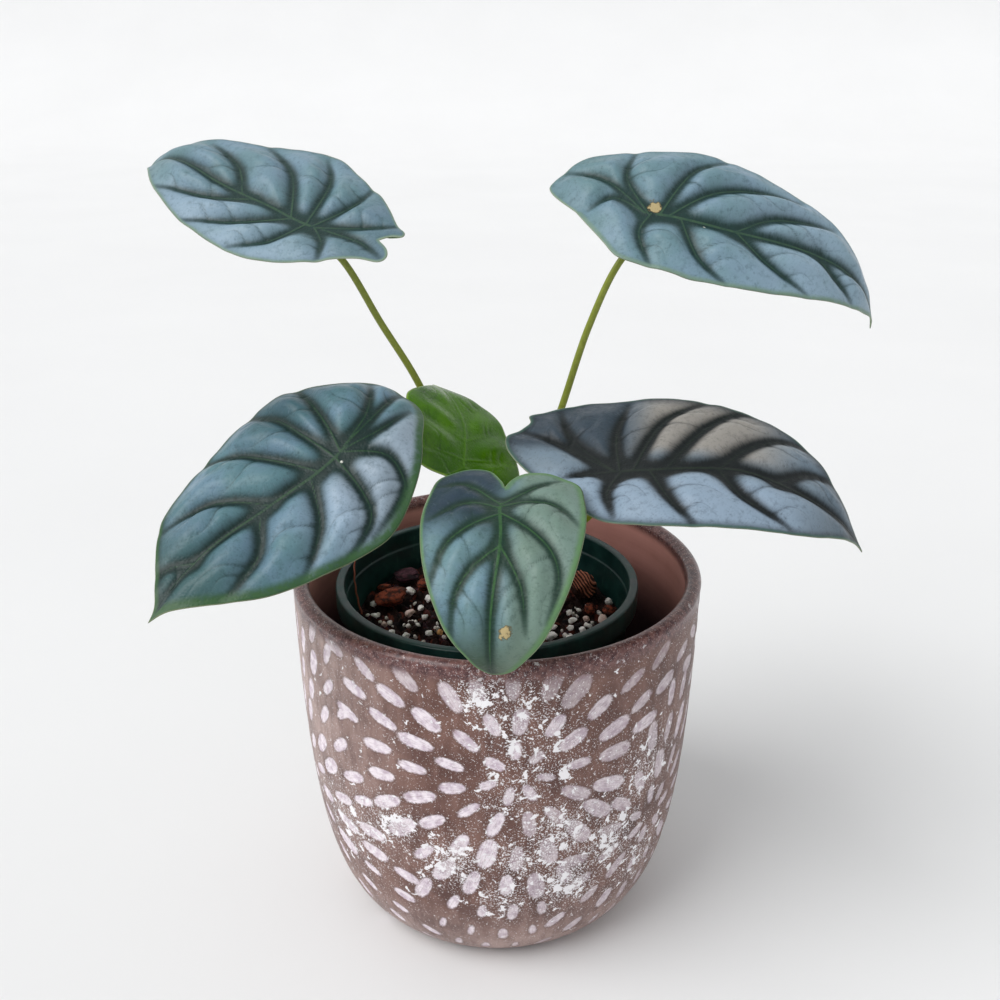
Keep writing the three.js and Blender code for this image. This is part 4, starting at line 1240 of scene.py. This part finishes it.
# How much of the panels' relief is left at the margin, and how far in mm the margin reaches in
RELIEF_AT_MARGIN = 0.2
RELIEF_REACH = 12.0
MARGIN_FADE = 2.6
RIPPLE = 0.55
TOP_RIB_HEIGHT = 0.14
UNDER_RIB_HEIGHT = 0.55


def half_outline(leaf, half, steps):
    line = smooth_curve([(along * leaf["length"], across) for along, across in leaf[half]], steps)
    line[:, 1] = np.maximum(line[:, 1], 0)
    return line


def bent(leaf, along, across):
    """A flat point of the blade in mm, bent along the midrib and across it."""
    length = leaf["length"]
    droop = math.radians(leaf["droop"]) / length
    tail = math.radians(leaf["tail"]) / (TAIL_STATION * length)
    curve = np.where(along >= 0, droop, tail)
    sag = np.where(across >= 0, *leaf["sag"])
    angle = curve * along
    tip_part = np.clip(along / length - CURL_START, 0, 1) / (1 - CURL_START)
    drop = -(1 - np.cos(sag * across)) / sag - leaf["curl"] * tip_part**2
    return np.stack([
        np.sin(angle) / curve + drop * np.sin(angle), np.sin(sag * across) / sag,
        -(1 - np.cos(angle)) / curve + drop * np.cos(angle),
    ], -1)


def leaf_turn(leaf):
    h, p, r = (math.radians(leaf[name]) for name in ("heading", "pitch", "roll"))
    heading = np.array([[math.cos(h), -math.sin(h), 0], [math.sin(h), math.cos(h), 0], [0, 0, 1]])
    pitch = np.array([[math.cos(p), 0, -math.sin(p)], [0, 1, 0], [math.sin(p), 0, math.cos(p)]])
    roll = np.array([[1, 0, 0], [0, math.cos(r), -math.sin(r)], [0, math.sin(r), math.cos(r)]])
    return heading @ pitch @ roll


def surface(leaf, along, across):
    """Points of the blade's middle surface and its normals, in the CAD frame in mm."""
    step = 0.2
    turn = leaf_turn(leaf).T
    lengthwise = bent(leaf, along + step, across) - bent(leaf, along - step, across)
    sideways = bent(leaf, along, across + step) - bent(leaf, along, across - step)
    normal = np.cross(lengthwise, sideways)
    normal /= np.linalg.norm(normal, axis=-1, keepdims=True)
    return bent(leaf, along, across) @ turn + leaf["junction"], normal @ turn


def blade_place(leaf, along_share, across):
    point, normal = surface(leaf, np.array([along_share * leaf["length"]]), np.array([across]))
    return point[0], normal[0]


def midrib_line(leaf):
    tip, sinus = leaf["left"][0], leaf["left"][-1]
    stations = [sinus, leaf["hub"], *leaf["midrib"], tip]
    return smooth_curve([(along * leaf["length"], across) for along, across in stations], 80)


def midrib_across(leaf, along):
    line = midrib_line(leaf)
    order = np.argsort(line[:, 0])
    return np.interp(along, line[order, 0], line[order, 1])


def vein_lines(leaf, rng):
    """Main veins and finer branches in flat mm, each as (points, half width, band share, main)."""
    length = leaf["length"]
    hub = leaf["hub"][0]
    midrib = midrib_line(leaf)
    veins = [(midrib[midrib[:, 0] >= hub * length], MIDRIB_WIDTH, 1.0, True)]
    for (half, side), width in zip(HALVES.items(), leaf["widths"]):
        mains = []
        for start, *passing in leaf[half + "_veins"]:
            begin = start * length
            points = [(begin, float(midrib_across(leaf, begin)))]
            points += [(along * length, side * across * width) for along, across in passing]
            mains.append(smooth_curve(points, 26))
            veins.append((mains[-1], VEIN_WIDTH, 0.85, True))
        mains.sort(key=lambda line: line[-1, 0])
        ends = [line[-1] for line in mains] + [np.array(leaf["left"][0]) * (length, 1)]
        for order, line in enumerate(mains):
            gap = ends[order + 1] - ends[order]
            for share, toward in FINE_BRANCHES:
                begin = line[int(25 * (share + rng.uniform(-0.07, 0.07)))]
                target = line[-1] + gap * (toward + rng.uniform(-0.06, 0.06))
                run = target - begin
                bulge = np.array([-run[1], run[0]]) * side * -rng.uniform(0.16, 0.3)
                fine = [begin, begin + 0.42 * run + bulge, begin + 0.97 * run]
                veins.append((smooth_curve(fine, 12), FINE_VEIN_WIDTH, 0.3, False))
    return veins


def line_places(flat, line):
    """For each point, its distance to a line and how far along the line its nearest place is."""
    starts, steps = line[:-1], np.diff(line, axis=0)
    reach = np.hypot(*steps.T)
    starts, steps, reach = (part[reach > 1e-6] for part in (starts, steps, reach))
    before = np.r_[0, np.cumsum(reach)[:-1]]
    offset = flat[:, None] - starts
    share = np.clip((offset * steps).sum(-1) / reach**2, 0, 1)
    offset -= share[..., None] * steps
    away = np.hypot(offset[..., 0], offset[..., 1])
    rows, own = np.arange(len(flat)), away.argmin(1)
    return away[rows, own], before[own] + share[rows, own] * reach[own]


def vein_distances(veins, flat, band):
    """Silver share, puff share, rib and fine vein distances in mm, and streak coordinates."""
    silver, puff = np.ones(len(flat)), np.ones(len(flat))
    rib, fine, nearest = (np.full(len(flat), far) for far in (30.0, 30.0, 99.0))
    streak = np.zeros((len(flat), 3))
    for order, (line, half_width, band_share, main) in enumerate(veins):
        distance, far = line_places(flat, line)
        progress = np.clip(far / travelled(line)[-1], 0, 1)
        edge = distance - half_width * (1 - 0.62 * progress)
        if main:
            rib = np.minimum(rib, edge + 0.5 * progress**6)
            width = band * band_share * (1.4 - 0.9 * progress)
            silver *= 1 - 0.97 * (1 - 0.5 * progress**6) * dip(np.maximum(edge, 0), width)
            puff_width = PUFF_WIDTH * (1.15 - 0.5 * progress)
            puff *= 1 - (1 - 0.3 * progress**4) * dip(distance, puff_width)
            place = np.stack([far + 57 * order, distance, np.full(len(flat), order)], -1)
            streak = np.where((distance < nearest)[:, None], place, streak)
            nearest = np.minimum(nearest, distance)
        else:
            fine = np.minimum(fine, edge + 0.5 * progress)
            puff *= 1 - 0.24 * dip(distance, 1.6) * (1 - progress)
            silver *= 1 - 0.4 * dip(distance, 1.1) * (1 - progress) ** 1.5
    return silver, puff, rib, fine, streak


def blade_grid(leaf):
    """Flat mesh points of the whole blade: rows from tip to sinus, columns right to left."""
    length = leaf["length"]
    midrib = midrib_line(leaf)
    sinus = midrib[0]
    edges = {half: half_outline(leaf, half, 600) * (1, side) for half, side in HALVES.items()}
    longest = max(travelled(line)[-1] for line in edges.values())
    q = np.linspace(0, 1, int(longest / MESH_PITCH) + 1)
    starts = [midrib[-1, 0] / length, *ROW_STARTS, sinus[0] / length]
    foot_along = np.interp(q, ROW_ENDS, starts) * length
    foot = np.stack([foot_along, midrib_across(leaf, foot_along)], -1)
    closing = (np.clip((q - 0.85) / 0.15, 0, 1) ** 2)[:, None]
    sides = {}
    for half, line in edges.items():
        edge = points_at(line, q * travelled(line)[-1]) + closing * (sinus - line[-1])
        columns = int(max(across for _, across in leaf[half]) * 1.1 / MESH_PITCH)
        share = np.linspace(0, 1, columns + 1)[1:, None, None]
        sides[half] = foot * (1 - share) + edge * share
    grid = np.concatenate([sides["right"][::-1], foot[None], sides["left"]]).transpose(1, 0, 2)
    border = np.vstack([grid[:, 0], grid[::-1, -1]])
    return grid, border


def leaf_tints(key, leaf, flat, margin):
    """Shares of the tints that differ from leaf to leaf: dark, bright, warm, green and rim."""
    along, across = flat[:, 0] / leaf["length"], flat[:, 1]
    dark, bright, warm, green = np.zeros((4, len(flat)))
    rim_width = np.where(across > 0, *leaf["rim"])
    tip = np.hypot(flat[:, 0] - leaf["length"], across)
    if key == "a":
        bright = 0.4 * ease(across, 4, 20)
        # Painted shade: a is darker behind the hub
        dark = 0.4 * ease(-0.05 - along, 0, 0.3)
        green = 0.4 * ease(along, 0.6, 0.95)
    elif key == "b":
        bright = 0.45 * ease(along, 0.1, 0.6)
        green = 0.35 * ease(-along, 0.1, 0.35)
    elif key == "c":
        # c: painted sheen on its left half toward the base (bright and warm), and painted shade on
        # its right half toward the base (dark); it is also darker and greener toward the tip
        bright = ease(across, 2, 16) * ease(0.5 - along, 0, 0.35)
        warm = 0.3 * ease(across, 2, 12) * ease(0.3 - along, 0, 0.25)
        dark = 0.75 * ease(-across, 4, 26) * ease(0.35 - along, 0, 0.35)
        dark = np.maximum(dark, 0.7 * ease(along, 0.45, 0.9))
        green = 0.6 * ease(along, 0.55, 0.9)
    elif key == "d":
        warm = ease(across, 1, 8) * ease(0.66 - along, 0, 0.25) * ease(along, -0.06, 0.1)
        bright = 0.7 * ease(-across, 1, 8) * ease(0.8 - along, 0, 0.3)
        # d: painted shade near the base of its left half, where the leaf lies in shade; it is also
        # darker toward the tip and by the margin of that half
        dark = 0.95 * ease(0.1 - along, 0, 0.16) * ease(across, 3, 9)
        dark = np.maximum(dark, 0.5 * ease(along, 0.55, 0.95))
        dark = np.maximum(dark, 0.8 * ease(across, 0, 8) * (1 - ease(margin, 1, 9)))
        green = 0.8 * (1 - ease(tip, 3, 9))
    elif key == "e":
        green = 0.85 * ease(across, -2, 8)
        dark = ease(-across, -6, 5) * ease(0.3 - along, 0, 0.26)
        warm = 0.9 * ease(along, 0.5, 0.85)
    rim = np.maximum(1 - ease(margin, rim_width * 0.35, rim_width), 1 - ease(tip, 1.5, 6))
    return {"dark": dark, "bright": bright, "warm": warm, "green": green, "rim": rim}


def blade_faces(rows, columns):
    """Faces of the top and of the underside, which share the points of the blade's margin."""
    top = np.arange(rows * columns).reshape(rows, columns)
    top[0], top[-1] = top[0, 0], top[-1, 0]
    under = top.copy()
    under[1:-1, 1:-1] += rows * columns
    layers = []
    for layer, step in ((top, -1), (under, 1)):
        corners = [layer[:-1, :-1], layer[1:, :-1], layer[1:, 1:], layer[:-1, 1:]]
        quads = np.stack(corners, -1).reshape(-1, 4)[:, ::step].tolist()
        faces = [list(dict.fromkeys(quad)) for quad in quads]
        layers.append([face for face in faces if len(face) > 2])
    return layers


def away_from(leaf, flat, mark, squash):
    """Distance in mm from each point to the edge of a leaf's small mark, where it has one."""
    along, across, radius = leaf.get(mark, (0, 0, -1e3))
    return np.hypot(flat[:, 0] - along * leaf["length"], (flat[:, 1] - across) * squash) - radius


def make_blade(key, leaf, looks, rng):
    grid, border = blade_grid(leaf)
    flat = grid.reshape(-1, 2)
    margin, _ = in_parts(lambda part: line_places(part, border), flat)
    puff_height, band, depth = FINISHES[leaf["finish"]]
    veins = vein_lines(leaf, rng)
    fields = in_parts(lambda part: vein_distances(veins, part, band), flat)
    silver, puff, rib, fine, streak = fields
    silver *= 1 - leaf["dark_margin"] * dip(margin, MARGIN_FADE)
    silver = 1 - depth * (1 - silver)
    inward = ease(margin, 0, RELIEF_REACH)
    fine_groove = 0.16 * dip(np.maximum(fine, 0), 0.35) * ease(margin, 0.5, 3)
    ripple = RIPPLE * waves(np.column_stack([flat, np.zeros(len(flat))]), 0.07, ord(key), 2)
    relief = puff_height * puff * (RELIEF_AT_MARGIN + (1 - RELIEF_AT_MARGIN) * inward)
    relief += ripple * (1 - inward) - fine_groove
    rib_core = dip(np.maximum(rib, -0.3) + 0.3, math.sqrt(0.2))
    middle, normal = surface(leaf, flat[:, 0], flat[:, 1])
    middle = middle + normal * relief[:, None]
    round_edge = 1 - np.clip(margin / 0.5, 0, 1)
    thick = BLADE_THICKNESS / 2 * np.sqrt(1 - round_edge**2)
    top_rib = TOP_RIB_HEIGHT * rib_core * (margin > 0.5)
    under_rib = UNDER_RIB_HEIGHT * rib_core * ease(margin, 0.3, 2)
    top = middle + normal * (thick + top_rib)[:, None]
    under = middle - normal * (thick + under_rib)[:, None]

    points = np.vstack([top, under])
    top_faces, under_faces = blade_faces(*grid.shape[:2])
    faces = top_faces + under_faces
    used = np.zeros(len(points), bool)
    used[[corner for face in faces for corner in face]] = True
    renumber = (np.cumsum(used) - 1).tolist()
    faces = [[renumber[corner] for corner in face] for face in faces]
    values = {
        "silver": silver, "rib": rib, "fine": fine, "margin": margin, "streak": streak,
        "scar": away_from(leaf, flat, "scar", 0.8), "speck": away_from(leaf, flat, "speck", 1),
        **leaf_tints(key, leaf, flat, margin),
    }
    values = {name: np.concatenate([value, value])[used] for name, value in values.items()}
    face_looks = [0] * len(top_faces) + [1] * len(under_faces)
    add_piece(
        f"blade_{key}", points[used], faces, looks, [f"leaf_{key}"], values,
        face_looks,
    )


# Per finish: panel, second panel tone, dark band, rib line, bright, warm, green, deep, rim and
# last the roughness
PALETTES = {
    "silver": (
        (120, 147, 164), (106, 137, 146), (24, 54, 50), (66, 98, 70), (160, 182, 200),
        (140, 142, 140), (84, 118, 112), (32, 60, 72), (112, 138, 122), 0.4,
    ),
    "deep": (
        (104, 134, 152), (88, 124, 132), (12, 42, 38), (50, 88, 50), (152, 174, 194),
        (142, 144, 140), (74, 112, 92), (28, 60, 72), (52, 88, 50), 0.4,
    ),
    "dusk": (
        (112, 130, 144), (122, 138, 150), (8, 18, 20), (34, 48, 34), (146, 166, 186),
        (146, 142, 136), (112, 140, 60), (16, 32, 46), (66, 96, 86), 0.42,
    ),
    "green": (
        (116, 147, 164), (104, 136, 140), (18, 52, 38), (62, 110, 54), (148, 170, 178),
        (48, 70, 40), (112, 134, 118), (8, 24, 46), (92, 130, 84), 0.42,
    ),
    "young": (
        (54, 98, 2), (78, 124, 8), (34, 70, 2), (80, 126, 14), (112, 156, 24),
        (120, 150, 20), (80, 124, 8), (34, 66, 2), (130, 168, 44), 0.22,
    ),
}


def leaf_top_look(finish):
    panel, second, band, rib_tone, bright, warm, green, deep, rim, rough = PALETTES[finish]
    look = Look(f"leaf_top_{finish}", roughness=rough, specular=0.32)
    streak = look.attribute("streak", "Vector")
    bristle = look.streaks((1.5, 0.32, 3), 3, 0.65, streak)
    cloud = look.noise(0.07, detail=4, rough=0.55)
    mottle = look.noise(0.45, detail=4, rough=0.65)
    grain = look.cells(0.95)
    look.colour = look.blend(look.ease(cloud, 0.35, 0.65), panel, second)
    # Painted sheen comes in through the bright and warm shares on leaf c, and painted shade through
    # the dark share on leaves a, c and d
    look.tint(look.attribute("bright"), bright)
    look.tint(look.attribute("warm"), warm)
    look.tint(look.attribute("green"), green)
    look.tint(look.times(look.attribute("dark"), 0.85), deep)
    look.tint(look.ease(mottle, 0.48, 0.78, 0, 0.38), band)
    look.tint(look.ease(grain, 0.0, 0.35, 0.22, 0), band)
    silver = look.attribute("silver")
    near_band = look.ease(silver, 0.75, 0.99, 1, 0.15)
    dark_hairs = look.times(look.ease(bristle, 0.5, 0.75, 0, 0.45), near_band)
    pale_hairs = look.times(look.ease(bristle, 0.25, 0.45, 0.25, 0), near_band)
    look.tint(dark_hairs, band)
    look.tint(pale_hairs, bright)
    shift = look.times(look.math("SUBTRACT", bristle, 0.5), 0.42)
    ragged = look.plus(silver, shift)
    darkest = tuple(0.72 * part for part in rgb(*band))
    dark_band = look.blend(look.ease(mottle, 0.3, 0.7), band, darkest)
    look.tint(look.ease(ragged, 0.1, 0.92, 1, 0), dark_band)
    fine = look.attribute("fine")
    look.tint(look.ease(fine, 0.0, 0.5, 0.42, 0), band)
    rib = look.attribute("rib")
    rib_share = look.ease(mottle, 0.3, 0.6, 0.4, 1)
    look.tint(look.times(look.ease(rib, -0.3, 0.1, 0.6, 0), rib_share), rib_tone)
    margin = look.attribute("rim")
    margin = look.times(margin, look.ease(look.noise(0.6, 3), 0.2, 0.6, 0.6, 1))
    look.tint(margin, rim)
    edge = look.attribute("margin")
    look.tint(look.ease(edge, 0.1, 0.4, 0.45, 0), (170, 172, 140))
    ragged_scar = look.times(look.noise(0.45, 4, 0.65), 5.0)
    scar = look.plus(look.attribute("scar"), ragged_scar)
    look.tint(look.ease(scar, 1.7, 2.3, 1, 0), (92, 82, 52))
    look.tint(look.ease(scar, 1.4, 1.8, 1, 0), (178, 160, 116))
    look.tint(look.ease(look.attribute("speck"), -0.2, 0.2, 1, 0), (236, 236, 226))
    look.bump(look.ease(grain, 0.0, 0.6), 0.1, 0.45)
    look.bump(bristle, 0.12, 0.25)
    return look.finish(look.ease(mottle, 0.2, 0.8, rough - 0.06, rough + 0.1))


def leaf_under_look(finish):
    light, dark, rib_tone = {
        "young": ((110, 150, 60), (84, 128, 40), (150, 178, 96)),
        "dusk": ((128, 138, 110), (104, 112, 88), (120, 112, 78)),
    }.get(finish, ((146, 166, 130), (120, 144, 108), (150, 150, 104)))
    look = Look(f"leaf_under_{finish}", roughness=0.55, specular=0.4)
    mottle = look.noise(0.35, detail=4, rough=0.6)
    look.colour = look.blend(mottle, dark, light)
    look.tint(look.ease(look.attribute("fine"), 0.0, 0.5, 0.4, 0), dark)
    look.tint(look.ease(look.attribute("rib"), -0.1, 0.5, 1, 0), rib_tone)
    look.bump(look.cells(0.9), 0.08, 0.5)
    return look.finish()


def make_plant():
    stalk_look = petiole_look()
    looks = {finish: [leaf_top_look(finish), leaf_under_look(finish)] for finish in PALETTES}
    make_corm()
    for order, (key, leaf) in enumerate(LEAVES.items()):
        make_petiole(key, leaf, stalk_look)
        make_blade(key, leaf, looks[leaf["finish"]], np.random.default_rng(30 + order))


make_camera()
make_backdrop()
make_light()
make_cover_pot()
make_nursery_pot()
make_mix(np.random.default_rng(5))
make_bark(np.random.default_rng(6))
make_husk(np.random.default_rng(7))
make_perlite(np.random.default_rng(8))
make_litter(np.random.default_rng(9))
make_fibre()
make_plant()
